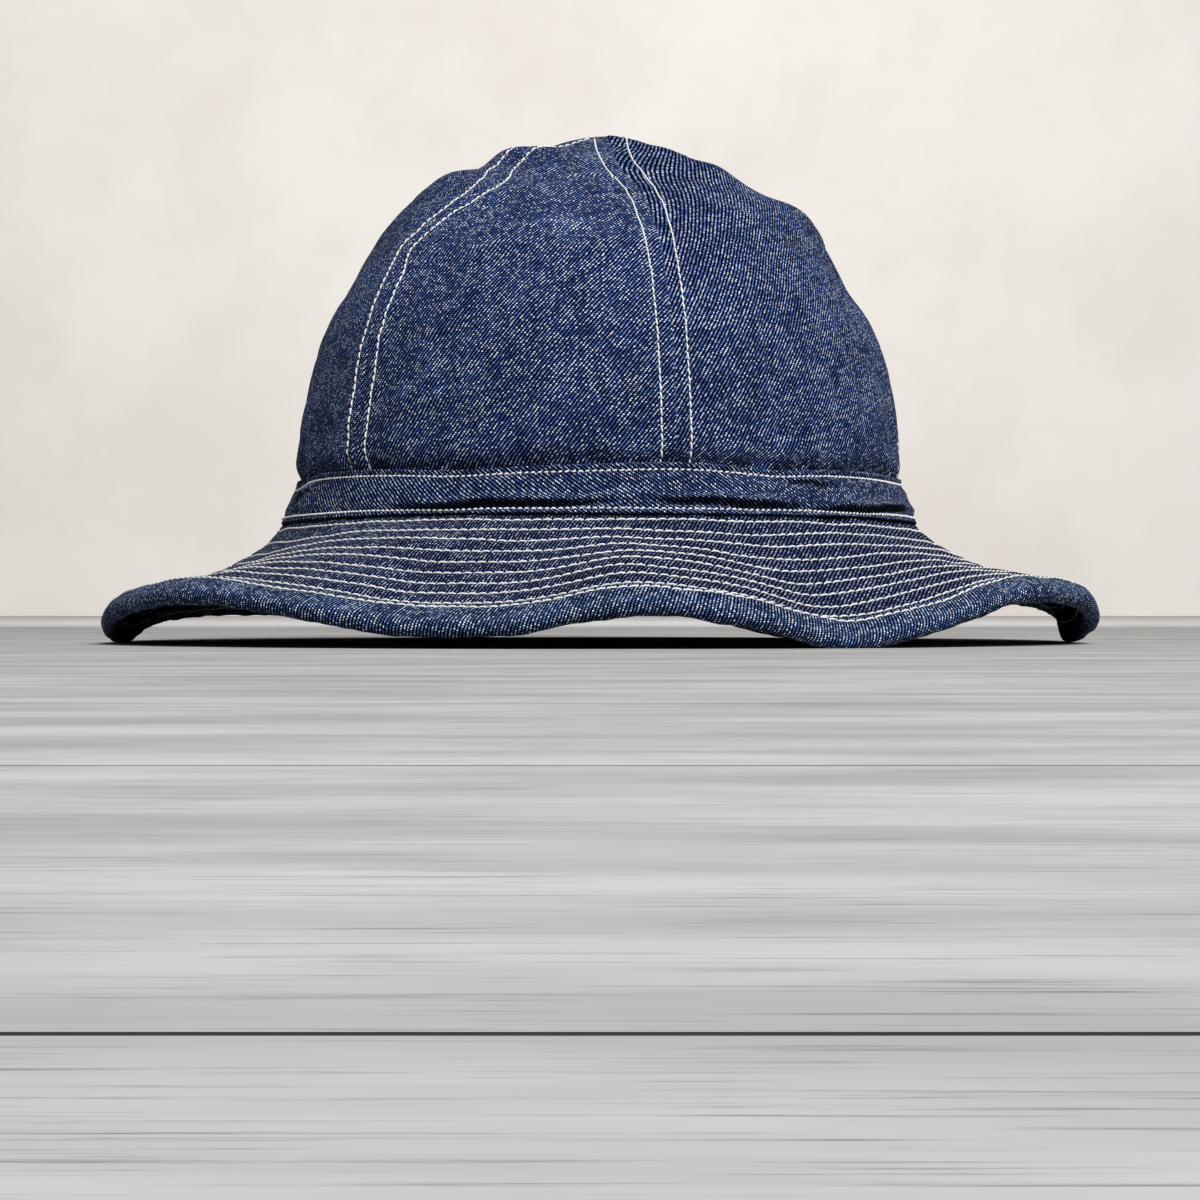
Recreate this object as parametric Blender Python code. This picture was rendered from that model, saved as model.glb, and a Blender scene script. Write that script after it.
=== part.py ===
"""Denim hat with a six-gore crown, a narrow hat band, a row-stitched brim and a bound edge.

Metres, +Z up. The hat stands by itself on its wavy brim, so z = 0 is the surface under it. The
origin is on that surface, under the middle of the hat. The front of the hat faces -Y. An azimuth
is an angle in degrees round the hat, 0 at the front and 90 on the wearer's left, at +X.
"""

import math

import bmesh
import bpy
import numpy as np

# Crown, measured on the cloth's outer face at its lower seam
CROWN_WIDTH = 0.1746
CROWN_LENGTH = 0.2040
CROWN_HEIGHT = 0.1005
CROWN_SEAM_HEIGHT = 0.0462
PEAK_SHIFT = 0.0016
FIRST_SEAM_AZIMUTH = 13.7
GORES = 6
GORE_RIDGE = 0.012
GORE_SHARES = (1.24, 0.94, 0.94, 0.94, 0.94, 1.00)

# Cloth and the clear space between sewn pieces
CLOTH = 0.0012
SEAM_GAP = 0.0003
ALLOWANCE_WIDTH = 0.0065
ALLOWANCE_CLOTH = 0.0010
ALLOWANCE_STEP = 0.0010

# Band, laid over the joint of crown and brim
BAND_CLOTH = 0.0012
BAND_ABOVE_SEAM = 0.0006

# Brim, two plies of cloth stitched to a stiff layer between them
BRIM_WIDTH = 0.0630
BRIM_THICKNESS = 0.0024
BRIM_TUCK = 0.0036
TUCK_SLOPE = 30.0
BINDING_WIDTH = 0.0085
BINDING_CLOTH = 0.0010
REST_PRESS = 0.0006

# Mesh fineness
RING_STATIONS = 90
GORE_MIDDLE_COLUMNS = 5
BRIM_COLUMNS = 6
BINDING_FACE_COLUMNS = 2
BINDING_ROLL_STEPS = 4
PATH_STEPS = 120
MOST_ALLOWANCE_SHARE = 0.28
MOST_STEP_SHARE = 0.04

# Crown sections from the tucked-in lower edge to the peak. Height is a share of CROWN_HEIGHT,
# measured from the lower seam. Side, front and back are shares of the crown's half width
# and half length.
CROWN_SECTIONS = [
    # height,  side, front,  back
    (-0.098, 1.018, 1.018, 1.018),
    (-0.050, 0.994, 0.996, 0.996),
    (0.000, 0.982, 0.984, 0.984),
    (0.045, 0.998, 0.995, 0.995),
    (0.120, 0.990, 0.983, 0.990),
    (0.225, 0.968, 0.958, 0.972),
    (0.340, 0.940, 0.936, 0.950),
    (0.450, 0.896, 0.910, 0.915),
    (0.560, 0.827, 0.852, 0.858),
    (0.660, 0.757, 0.745, 0.785),
    (0.740, 0.696, 0.590, 0.700),
    (0.805, 0.616, 0.430, 0.600),
    (0.865, 0.504, 0.285, 0.470),
    (0.918, 0.370, 0.205, 0.340),
    (0.958, 0.208, 0.130, 0.200),
    (0.986, 0.104, 0.066, 0.100),
    (0.999, 0.012, 0.010, 0.012),
]

# Soft dents (below zero) and bulges of the crown. Along is the share of the way from the lower
# edge to the peak, and push is a share of CROWN_HEIGHT.
CROWN_DENTS = [
    # azimuth, along, wide, long, push
    (-80.0, 0.70, 26.0, 0.060, 0.026),
    (-72.0, 0.76, 30.0, 0.025, -0.012),
    (-70.0, 0.82, 40.0, 0.035, 0.024),
    (86.0, 0.69, 38.0, 0.065, -0.034),
    (70.0, 0.81, 44.0, 0.040, -0.014),
    (88.0, 0.44, 34.0, 0.100, -0.022),
    (-72.0, 0.50, 12.0, 0.080, -0.010),
    (-18.0, 0.63, 22.0, 0.040, 0.014),
    (-30.0, 0.15, 14.0, 0.030, -0.012),
    (38.0, 0.14, 10.0, 0.026, -0.014),
    (4.0, 0.13, 7.0, 0.022, -0.007),
    (-62.0, 0.14, 9.0, 0.026, -0.010),
    (76.0, 0.15, 8.0, 0.030, -0.010),
    (128.0, 0.16, 15.0, 0.032, -0.012),
    (168.0, 0.66, 26.0, 0.070, -0.014),
    (-150.0, 0.14, 13.0, 0.028, -0.011),
    (-128.0, 0.60, 20.0, 0.080, 0.012),
]

# The seams sway where the soft top is dented. A sway turns a seam sideways by some degrees at a
# place on its way up the crown.
SEAM_SWAYS = [
    # seam, along, long, degrees
    (0, 0.82, 0.19, -8.5),
    (1, 0.66, 0.10, 4.0),
    (2, 0.64, 0.09, -5.0),
    (3, 0.70, 0.14, 5.0),
    (4, 0.64, 0.09, 5.0),
    (5, 0.49, 0.04, -2.5),
    (5, 0.65, 0.09, 13.0),
]

# Folds of the brim. Each slope is in degrees below the horizontal, at that share of the way
# from the band (0) to the edge (1).
FOLD_STATIONS = (0.0, 0.15, 0.35, 0.65, 0.85, 1.0)
BRIM_FOLDS = [
    # azimuth, slopes at the fold stations
    (-160.0, 37.0, 32.0, 32.0, 27.0, 30.0, 44.0),
    (-144.0, 36.0, 28.0, 24.0, 18.0, 22.0, 40.0),
    (-130.0, 46.0, 30.0, 23.0, 14.0, 18.0, 44.0),
    (-110.0, 58.0, 35.0, 23.0, 13.0, 26.0, 66.0),
    (-90.0, 64.0, 38.0, 26.0, 18.0, 46.0, 106.0),
    (-75.0, 60.0, 37.0, 24.0, 14.0, 35.0, 102.0),
    (-60.0, 52.0, 33.0, 22.0, 11.0, 18.0, 54.0),
    (-42.0, 30.0, 25.0, 19.0, 13.0, 18.0, 36.0),
    (-30.0, 24.0, 24.0, 24.0, 19.0, 21.0, 36.0),
    (-20.0, 25.0, 27.0, 29.0, 25.0, 25.0, 38.0),
    (-9.0, 26.0, 28.0, 28.0, 25.0, 27.0, 40.0),
    (4.0, 30.0, 22.0, 17.0, 21.0, 26.0, 42.0),
    (14.0, 31.0, 26.0, 23.0, 23.0, 27.0, 44.0),
    (25.0, 35.0, 34.0, 34.0, 28.0, 27.0, 50.0),
    (35.0, 34.0, 31.0, 29.0, 21.0, 20.0, 38.0),
    (45.0, 35.0, 28.0, 21.0, 12.0, 12.0, 34.0),
    (57.0, 42.0, 29.0, 19.0, 10.0, 15.0, 48.0),
    (74.0, 54.0, 31.0, 21.0, 13.0, 37.0, 110.0),
    (90.0, 60.0, 31.0, 25.0, 19.0, 62.0, 128.0),
    (106.0, 54.0, 28.0, 20.0, 12.0, 30.0, 84.0),
    (119.0, 42.0, 27.0, 19.0, 11.0, 15.0, 44.0),
    (134.0, 34.0, 27.0, 24.0, 19.0, 22.0, 44.0),
    (151.0, 38.0, 34.0, 33.0, 27.0, 30.0, 44.0),
    (173.0, 31.0, 26.0, 21.0, 18.0, 22.0, 42.0),
]

DENIM = (0.040, 0.060, 0.145, 1.0)
BAND_DENIM = (0.046, 0.070, 0.165, 1.0)
BINDING_DENIM = (0.048, 0.082, 0.200, 1.0)


def smooth(stations, values, at):
    """Cubic curve through the values, each slope taken from its neighbours."""
    slopes = np.gradient(values, stations)
    left = int(np.clip(np.searchsorted(stations, at, side="right") - 1, 0, len(stations) - 2))
    span = stations[left + 1] - stations[left]
    share = (at - stations[left]) / span
    rise = values[left + 1] - values[left]
    bend_in = slopes[left] * span - rise
    bend_out = rise - slopes[left + 1] * span
    straight = values[left] + rise * share
    return straight + share * (1 - share) * ((1 - share) * bend_in + share * bend_out)


def unit(vector):
    return vector / np.linalg.norm(vector)


def bell(distance, width):
    return math.exp(-((distance / width) ** 2))


def turn_between(azimuth, other):
    """Smallest angle from one azimuth to the other, in degrees."""
    return (azimuth - other + 180.0) % 360.0 - 180.0


def section_columns():
    """The crown's sections as columns, led by the share of the way up its side."""
    height, side, front, back = np.array(CROWN_SECTIONS).T
    steps = np.hypot(np.diff(height * CROWN_HEIGHT), np.diff(side * CROWN_WIDTH / 2))
    along = np.concatenate([[0.0], np.cumsum(steps)]) / steps.sum()
    return along, height, side, front, back


ALONG, HEIGHT, SIDE, FRONT, BACK = section_columns()
SEAM_ROW = int(np.argmin(np.abs(HEIGHT)))
SEAM_ALONG = ALONG[SEAM_ROW]
LAST_ALONG = 0.992


def plan_oval(azimuth, side, front, back):
    """Point of an egg-shaped outline, given as shares of the half width and half length."""
    angle = math.radians(azimuth)
    depth = front if math.cos(angle) > 0 else back
    return np.array([
        side * CROWN_WIDTH / 2 * math.sin(angle),
        -depth * CROWN_LENGTH / 2 * math.cos(angle),
        0.0,
    ])


def outward(azimuth):
    """Level direction square to the head oval."""
    angle = math.radians(azimuth)
    across = math.sin(angle) / CROWN_WIDTH
    forward = -math.cos(angle) / CROWN_LENGTH
    return unit(np.array([across, forward, 0.0]))


def seam_azimuths():
    """Azimuths that divide the head oval into the gores' shares, the last one a full turn on."""
    fine = FIRST_SEAM_AZIMUTH + np.linspace(0.0, 360.0, 721)
    points = np.array([plan_oval(azimuth, 1.0, 1.0, 1.0) for azimuth in fine])
    walked = np.concatenate([[0.0], np.cumsum(np.linalg.norm(np.diff(points, axis=0), axis=1))])
    ends = np.concatenate([[0.0], np.cumsum(GORE_SHARES)]) / sum(GORE_SHARES)
    return np.interp(ends * walked[-1], walked, fine)


SEAMS = seam_azimuths()


def seam_azimuth(number, along):
    """Azimuth of a seam at a place on its way up. Seam 6 is the first one again, a full turn on."""
    azimuth = SEAMS[number]
    for seam, sway_along, long, degrees in SEAM_SWAYS:
        if seam == number % GORES:
            azimuth += degrees * bell(along - sway_along, long)
    return azimuth


def ridge(azimuth, along):
    """Share by which the crown stands out at its stiff seams, growing towards the peak."""
    turned = SEAMS[0] + (azimuth - SEAMS[0]) % 360.0
    gore = int(np.clip(np.searchsorted(SEAMS, turned, side="right") - 1, 0, GORES - 1))
    across = (turned - SEAMS[gore]) / (SEAMS[gore + 1] - SEAMS[gore])
    return GORE_RIDGE * max(along - SEAM_ALONG, 0.0) * math.cos(2 * math.pi * across)


def crown_point(azimuth, along):
    """Point of the crown's outer face. Along runs from its hidden lower edge (0) to the peak (1)."""
    shares = [smooth(ALONG, column, along) for column in (SIDE, FRONT, BACK)]
    point = plan_oval(azimuth, *shares) * (1 + ridge(azimuth, along))
    height = smooth(ALONG, HEIGHT, along)
    point[0] += PEAK_SHIFT * max(height, 0.0) ** 4
    point[2] = CROWN_SEAM_HEIGHT + height * CROWN_HEIGHT
    away = unit(point - np.array([0.0, 0.0, CROWN_SEAM_HEIGHT]))
    for dent_azimuth, dent_along, wide, long, push in CROWN_DENTS:
        turned = bell(turn_between(azimuth, dent_azimuth), wide)
        point += away * CROWN_HEIGHT * push * turned * bell(along - dent_along, long)
    return point


def crown_normal(azimuth, along):
    """Outward normal of the crown's outer face."""
    round_step = crown_point(azimuth + 0.5, along) - crown_point(azimuth - 0.5, along)
    up_step = crown_point(azimuth, along + 0.002) - crown_point(azimuth, along - 0.002)
    return unit(np.cross(round_step, up_step))


def gore_columns(width):
    """Places across a gore as shares of its width, close together at the seam allowances."""
    edge = min(ALLOWANCE_WIDTH / width, MOST_ALLOWANCE_SHARE)
    step = min(ALLOWANCE_STEP / width, MOST_STEP_SHARE)
    middle = np.linspace(edge + step, 1 - edge - step, GORE_MIDDLE_COLUMNS + 1)
    return np.concatenate([[0.0, edge], middle, [1 - edge, 1.0]])


def add_object(name, bm, colour, roughness):
    """Finishes a closed mesh as a smooth-shaded object with its own material."""
    bmesh.ops.recalc_face_normals(bm, faces=bm.faces)
    mesh = bpy.data.meshes.new(name)
    bm.to_mesh(mesh)
    bm.free()
    mesh.shade_smooth()
    mesh.set_sharp_from_angle(angle=math.radians(40))
    material = bpy.data.materials.new(name + "_cloth")
    material.use_nodes = True
    shader = material.node_tree.nodes["Principled BSDF"]
    shader.inputs["Base Color"].default_value = colour
    shader.inputs["Roughness"].default_value = roughness
    shader.inputs["Metallic"].default_value = 0.0
    material.diffuse_color = colour
    mesh.materials.append(material)
    made = bpy.data.objects.new(name, mesh)
    bpy.data.collections["denim_hat"].objects.link(made)
    return made


def slab(name, columns, rows, place, colour, roughness):
    """Closed sheet of cloth: a grid with a second layer, each vertex put by place(column, row, layer)."""
    bm = bmesh.new()
    layers = [
        [[bm.verts.new(place(i, j, layer)) for i in range(columns)] for j in range(rows)]
        for layer in (0, 1)
    ]
    outer, inner = layers
    for j in range(rows - 1):
        for i in range(columns - 1):
            bm.faces.new([outer[j][i], outer[j][i + 1], outer[j + 1][i + 1], outer[j + 1][i]])
            bm.faces.new([inner[j][i], inner[j + 1][i], inner[j + 1][i + 1], inner[j][i + 1]])
    for i in range(columns - 1):
        bm.faces.new([outer[0][i], inner[0][i], inner[0][i + 1], outer[0][i + 1]])
        bm.faces.new([outer[-1][i], outer[-1][i + 1], inner[-1][i + 1], inner[-1][i]])
    for j in range(rows - 1):
        bm.faces.new([outer[j][0], outer[j + 1][0], inner[j + 1][0], inner[j][0]])
        bm.faces.new([outer[j][-1], inner[j][-1], inner[j + 1][-1], outer[j + 1][-1]])
    return add_object(name, bm, colour, roughness)


def ring(name, outline, colour, roughness):
    """Closed loop of cloth lofted through the outlines that outline(azimuth) gives round the hat.

    The faces of two rings that lie close are split alike where both outlines run the same way.
    """
    bm = bmesh.new()
    turns = [360.0 * k / RING_STATIONS for k in range(RING_STATIONS)]
    loops = [[bm.verts.new(point) for point in outline(azimuth)] for azimuth in turns]
    for k, loop in enumerate(loops):
        following = loops[(k + 1) % RING_STATIONS]
        for i in range(len(loop)):
            j = (i + 1) % len(loop)
            bm.faces.new([loop[i], loop[j], following[j]])
            bm.faces.new([loop[i], following[j], following[i]])
    return add_object(name, bm, colour, roughness)


def add_gore(number):
    """One crown panel, from one seam to the next, thicker where its seam allowance is turned in."""
    row_along = np.append(ALONG[:-1], LAST_ALONG)
    rows = []
    for along in row_along:
        start, end = seam_azimuth(number, along), seam_azimuth(number + 1, along)
        fine = [crown_point(azimuth, along) for azimuth in np.linspace(start, end, 25)]
        width = np.linalg.norm(np.diff(fine, axis=0), axis=1).sum()
        inset = SEAM_GAP / 2 / width
        shares = inset + (1 - 2 * inset) * gore_columns(width)
        rows.append([start + (end - start) * share for share in shares])
    columns = len(rows[0])
    turned_in = {0, 1, columns - 2, columns - 1}

    def place(i, j, layer):
        azimuth, along = rows[j][i], row_along[j]
        point = crown_point(azimuth, along)
        if layer == 0:
            return point
        if j == 0:
            return point - outward(azimuth) * CLOTH
        depth = CLOTH + (ALLOWANCE_CLOTH if i in turned_in else 0.0)
        return point - crown_normal(azimuth, along) * depth

    return slab(f"crown_gore_{number + 1}", columns, len(rows), place, DENIM, 0.85)


def brim_root(azimuth):
    """Where the brim's upper face begins, just under the crown's lower edge, behind the band."""
    edge = crown_point(azimuth, 0.0)
    return edge - outward(azimuth) * CLOTH - np.array([0.0, 0.0, SEAM_GAP])


def fold_slopes(azimuth):
    """The brim's slopes at the fold stations, smooth round the hat."""
    folds = np.array(BRIM_FOLDS)
    stations = np.concatenate([folds[-2:, 0] - 360.0, folds[:, 0], folds[:2, 0] + 360.0])
    turned = turn_between(azimuth, 0.0)
    columns = folds[:, 1:].T
    return [smooth(stations, np.concatenate([c[-2:], c, c[:2]]), turned) for c in columns]


class BrimPath:
    """The upper face of the brim along one line from the crown to the edge."""

    def __init__(self, azimuth):
        self.root = brim_root(azimuth)
        self.out = outward(azimuth)
        self.walked = np.linspace(0.0, BRIM_TUCK + BRIM_WIDTH, PATH_STEPS)
        slopes = fold_slopes(azimuth)
        stations = np.array(FOLD_STATIONS)
        shares = np.clip((self.walked - BRIM_TUCK) / BRIM_WIDTH, 0.0, 1.0)
        visible = np.array([smooth(stations, np.array(slopes), share) for share in shares])
        blend = np.clip(self.walked / (2 * BRIM_TUCK), 0.0, 1.0)
        self.slope = np.radians(TUCK_SLOPE * (1 - blend) + visible * blend)
        step = self.walked[1]
        self.reach = np.concatenate([[0.0], np.cumsum(np.cos(self.slope[:-1]) * step)])
        self.drop = np.concatenate([[0.0], np.cumsum(np.sin(self.slope[:-1]) * step)])

    def frame(self, walked):
        """Point, direction towards the edge and upward normal at a distance from the root."""
        slope = np.interp(walked, self.walked, self.slope)
        reach = np.interp(walked, self.walked, self.reach)
        drop = np.interp(walked, self.walked, self.drop)
        up = np.array([0.0, 0.0, 1.0])
        point = self.root + self.out * reach - up * drop
        along = self.out * math.cos(slope) - up * math.sin(slope)
        normal = self.out * math.sin(slope) + up * math.cos(slope)
        return point, along, normal

    def at(self, walked, depth):
        point, _, normal = self.frame(walked)
        return point - normal * depth


ROLL_RADIUS = BRIM_THICKNESS / 2 + SEAM_GAP + BINDING_CLOTH
EDGE_CENTRE = BRIM_TUCK + BRIM_WIDTH - ROLL_RADIUS


def bound_walks():
    """Distances from the root where both the bound part of the brim and its binding bend."""
    start = BRIM_TUCK + BRIM_WIDTH - BINDING_WIDTH
    return np.linspace(start, EDGE_CENTRE, BINDING_FACE_COLUMNS + 1)


def brim_outline(azimuth):
    path = BrimPath(azimuth)
    bound = bound_walks()
    walks = np.concatenate([np.linspace(0.0, bound[0], BRIM_COLUMNS)[:-1], bound])
    lower = [path.at(walked, BRIM_THICKNESS) for walked in walks]
    upper = [path.at(walked, 0.0) for walked in reversed(walks)]
    return lower + upper


def roll(path, radius):
    """Half circle round the brim's raw edge, from the upper side to the lower one."""
    point, along, normal = path.frame(EDGE_CENTRE)
    centre = point - normal * BRIM_THICKNESS / 2
    angles = np.linspace(math.pi / 2, -math.pi / 2, BINDING_ROLL_STEPS + 1)
    return [centre + radius * (along * math.cos(a) + normal * math.sin(a)) for a in angles]


def binding_outline(azimuth):
    path = BrimPath(azimuth)
    walks = bound_walks()[:-1]
    near, far = SEAM_GAP, SEAM_GAP + BINDING_CLOTH
    outer = [path.at(walked, -far) for walked in walks] + roll(path, ROLL_RADIUS)
    outer += [path.at(walked, BRIM_THICKNESS + far) for walked in reversed(walks)]
    inner = [path.at(walked, BRIM_THICKNESS + near) for walked in walks]
    inner += list(reversed(roll(path, ROLL_RADIUS - BINDING_CLOTH)))
    inner += [path.at(walked, -near) for walked in reversed(walks)]
    return rested(outer) + inner


def rested(points):
    """Presses flat onto the surface what would lie below it or just above it."""
    return [point if point[2] > REST_PRESS else point * (1.0, 1.0, 0.0) for point in points]


def band_outline(azimuth):
    """The band hugs the crown at its top edge and stands on the brim at its lower one."""
    top = SEAM_ALONG + BAND_ABOVE_SEAM / CROWN_HEIGHT
    lower_edge = BrimPath(azimuth).at(BRIM_TUCK, -SEAM_GAP)
    outer, inner = [], []
    for along in (top, *reversed(ALONG[:SEAM_ROW + 1])):
        point, normal = crown_point(azimuth, along), crown_normal(azimuth, along)
        near = point + normal * SEAM_GAP
        far = point + normal * (SEAM_GAP + BAND_CLOTH)
        inner.append(near)
        outer.append(far)
    outer.append(lower_edge)
    return outer + list(reversed(inner))


def main():
    for old in list(bpy.data.objects):
        bpy.data.objects.remove(old, do_unlink=True)
    hat = bpy.data.collections.new("denim_hat")
    bpy.context.scene.collection.children.link(hat)
    for number in range(GORES):
        add_gore(number)
    ring("hat_band", band_outline, BAND_DENIM, 0.85)
    ring("brim", brim_outline, DENIM, 0.85)
    ring("brim_binding", binding_outline, BINDING_DENIM, 0.85)


main()
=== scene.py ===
"""Looks of the denim hat: twill cloth, turned edges, puckered seams and white stitching.

Metres, +Z up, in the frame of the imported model. The front of the hat faces -Y. An azimuth is an
angle in degrees round the hat, 0 at the front and 90 at +X. The sizes and tables of the crown
and the brim are those of the part's source.
"""

import math

import bpy
import numpy as np
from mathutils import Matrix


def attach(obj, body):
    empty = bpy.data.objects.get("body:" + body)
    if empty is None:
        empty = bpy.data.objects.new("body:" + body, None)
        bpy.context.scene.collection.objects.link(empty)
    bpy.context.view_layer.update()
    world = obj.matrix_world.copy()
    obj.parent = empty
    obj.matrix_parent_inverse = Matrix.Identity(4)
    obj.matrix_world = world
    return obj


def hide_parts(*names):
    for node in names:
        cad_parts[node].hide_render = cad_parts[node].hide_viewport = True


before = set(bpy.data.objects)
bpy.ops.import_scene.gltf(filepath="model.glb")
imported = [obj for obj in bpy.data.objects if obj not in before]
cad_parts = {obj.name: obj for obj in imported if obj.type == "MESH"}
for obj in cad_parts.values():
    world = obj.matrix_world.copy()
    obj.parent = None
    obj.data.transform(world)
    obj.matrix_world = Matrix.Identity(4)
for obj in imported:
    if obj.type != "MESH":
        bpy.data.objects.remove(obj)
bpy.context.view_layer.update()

# Crown, measured on the cloth's outer face at its lower seam
CROWN_WIDTH = 0.1746
CROWN_LENGTH = 0.2040
CROWN_HEIGHT = 0.1005
CROWN_SEAM_HEIGHT = 0.0462
PEAK_SHIFT = 0.0016
FIRST_SEAM_AZIMUTH = 13.7
GORES = 6
GORE_RIDGE = 0.012
GORE_SHARES = (1.24, 0.94, 0.94, 0.94, 0.94, 1.00)

# Cloth and sewn layers
CLOTH = 0.0012
SEAM_GAP = 0.0003
ALLOWANCE_WIDTH = 0.0065
ALLOWANCE_CLOTH = 0.0010
BAND_CLOTH = 0.0012
BAND_ABOVE_SEAM = 0.0006
BRIM_WIDTH = 0.0630
BRIM_THICKNESS = 0.0024
BRIM_TUCK = 0.0036
TUCK_SLOPE = 30.0
BINDING_WIDTH = 0.0085
BINDING_CLOTH = 0.0010
PATH_STEPS = 120

# Crown sections from the tucked-in lower edge to the peak. Height is a share of CROWN_HEIGHT,
# measured from the lower seam. Side, front and back are shares of the crown's half width
# and half length.
CROWN_SECTIONS = [
    # height,  side, front,  back
    (-0.098, 1.018, 1.018, 1.018),
    (-0.050, 0.994, 0.996, 0.996),
    (0.000, 0.982, 0.984, 0.984),
    (0.045, 0.998, 0.995, 0.995),
    (0.120, 0.990, 0.983, 0.990),
    (0.225, 0.968, 0.958, 0.972),
    (0.340, 0.940, 0.936, 0.950),
    (0.450, 0.896, 0.910, 0.915),
    (0.560, 0.827, 0.852, 0.858),
    (0.660, 0.757, 0.745, 0.785),
    (0.740, 0.696, 0.590, 0.700),
    (0.805, 0.616, 0.430, 0.600),
    (0.865, 0.504, 0.285, 0.470),
    (0.918, 0.370, 0.205, 0.340),
    (0.958, 0.208, 0.130, 0.200),
    (0.986, 0.104, 0.066, 0.100),
    (0.999, 0.012, 0.010, 0.012),
]

# Soft dents (below zero) and bulges of the crown. Along is the share of the way from the lower
# edge to the peak, and push is a share of CROWN_HEIGHT.
CROWN_DENTS = [
    # azimuth, along, wide, long, push
    (-80.0, 0.70, 26.0, 0.060, 0.026),
    (-72.0, 0.76, 30.0, 0.025, -0.012),
    (-70.0, 0.82, 40.0, 0.035, 0.024),
    (86.0, 0.69, 38.0, 0.065, -0.034),
    (70.0, 0.81, 44.0, 0.040, -0.014),
    (88.0, 0.44, 34.0, 0.100, -0.022),
    (-72.0, 0.50, 12.0, 0.080, -0.010),
    (-18.0, 0.63, 22.0, 0.040, 0.014),
    (-30.0, 0.15, 14.0, 0.030, -0.012),
    (38.0, 0.14, 10.0, 0.026, -0.014),
    (4.0, 0.13, 7.0, 0.022, -0.007),
    (-62.0, 0.14, 9.0, 0.026, -0.010),
    (76.0, 0.15, 8.0, 0.030, -0.010),
    (128.0, 0.16, 15.0, 0.032, -0.012),
    (168.0, 0.66, 26.0, 0.070, -0.014),
    (-150.0, 0.14, 13.0, 0.028, -0.011),
    (-128.0, 0.60, 20.0, 0.080, 0.012),
]

# The seams sway where the soft top is dented. A sway turns a seam sideways by some degrees at a
# place on its way up the crown.
SEAM_SWAYS = [
    # seam, along, long, degrees
    (0, 0.82, 0.19, -8.5),
    (1, 0.66, 0.10, 4.0),
    (2, 0.64, 0.09, -5.0),
    (3, 0.70, 0.14, 5.0),
    (4, 0.64, 0.09, 5.0),
    (5, 0.49, 0.04, -2.5),
    (5, 0.65, 0.09, 13.0),
]

# Folds of the brim. Each slope is in degrees below the horizontal, at that share of the way
# from the band (0) to the edge (1).
FOLD_STATIONS = np.array((0.0, 0.15, 0.35, 0.65, 0.85, 1.0))
BRIM_FOLDS = [
    # azimuth, slopes at the fold stations
    (-160.0, 37.0, 32.0, 32.0, 27.0, 30.0, 44.0),
    (-144.0, 36.0, 28.0, 24.0, 18.0, 22.0, 40.0),
    (-130.0, 46.0, 30.0, 23.0, 14.0, 18.0, 44.0),
    (-110.0, 58.0, 35.0, 23.0, 13.0, 26.0, 66.0),
    (-90.0, 64.0, 38.0, 26.0, 18.0, 46.0, 106.0),
    (-75.0, 60.0, 37.0, 24.0, 14.0, 35.0, 102.0),
    (-60.0, 52.0, 33.0, 22.0, 11.0, 18.0, 54.0),
    (-42.0, 30.0, 25.0, 19.0, 13.0, 18.0, 36.0),
    (-30.0, 24.0, 24.0, 24.0, 19.0, 21.0, 36.0),
    (-20.0, 25.0, 27.0, 29.0, 25.0, 25.0, 38.0),
    (-9.0, 26.0, 28.0, 28.0, 25.0, 27.0, 40.0),
    (4.0, 30.0, 22.0, 17.0, 21.0, 26.0, 42.0),
    (14.0, 31.0, 26.0, 23.0, 23.0, 27.0, 44.0),
    (25.0, 35.0, 34.0, 34.0, 28.0, 27.0, 50.0),
    (35.0, 34.0, 31.0, 29.0, 21.0, 20.0, 38.0),
    (45.0, 35.0, 28.0, 21.0, 12.0, 12.0, 34.0),
    (57.0, 42.0, 29.0, 19.0, 10.0, 15.0, 48.0),
    (74.0, 54.0, 31.0, 21.0, 13.0, 37.0, 110.0),
    (90.0, 60.0, 31.0, 25.0, 19.0, 62.0, 128.0),
    (106.0, 54.0, 28.0, 20.0, 12.0, 30.0, 84.0),
    (119.0, 42.0, 27.0, 19.0, 11.0, 15.0, 44.0),
    (134.0, 34.0, 27.0, 24.0, 19.0, 22.0, 44.0),
    (151.0, 38.0, 34.0, 33.0, 27.0, 30.0, 44.0),
    (173.0, 31.0, 26.0, 21.0, 18.0, 22.0, 42.0),
]

# Fineness of the dressed pieces
RING_STATIONS = 720
GORE_ROWS = 146
GORE_MIDDLE_COLUMNS = 44
BRIM_COLUMNS = 84
UNDERSIDE_COLUMNS = 44
BAND_COLUMNS = 48
FINE_STATIONS = 2880
RIPPLE_WAVES = 16

# Columns of a gore beside its seams, in millimetres from the join, close at the stitch row
SEAM_COLUMNS = (
    0.0, 0.2, 0.45, 0.75, 1.1, 1.6, 2.2, 2.9, 3.5, 3.9, 4.2, 4.5, 4.9, 5.5, 6.1, 6.7, 7.3, 8.0, 8.8,
)

# Seams of the crown: distances from the join line, and heights of the relief over it
SEAM_ROW_DISTANCE = 0.0042
SEAM_ZONE = 0.0088
SEAM_WELT = 0.00020
WELT_RISE = 0.0013
WELT_END = (0.0056, 0.0074)
SEAM_GROOVE = 0.00024
GROOVE_WIDTH = 0.00050
ROW_SINK = 0.00026
ROW_WIDTH = 0.0008
SEAM_PUCKER = 0.00013
PUCKER_LENGTH = 0.006
PUCKER_WIDTH = 0.0036

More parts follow.
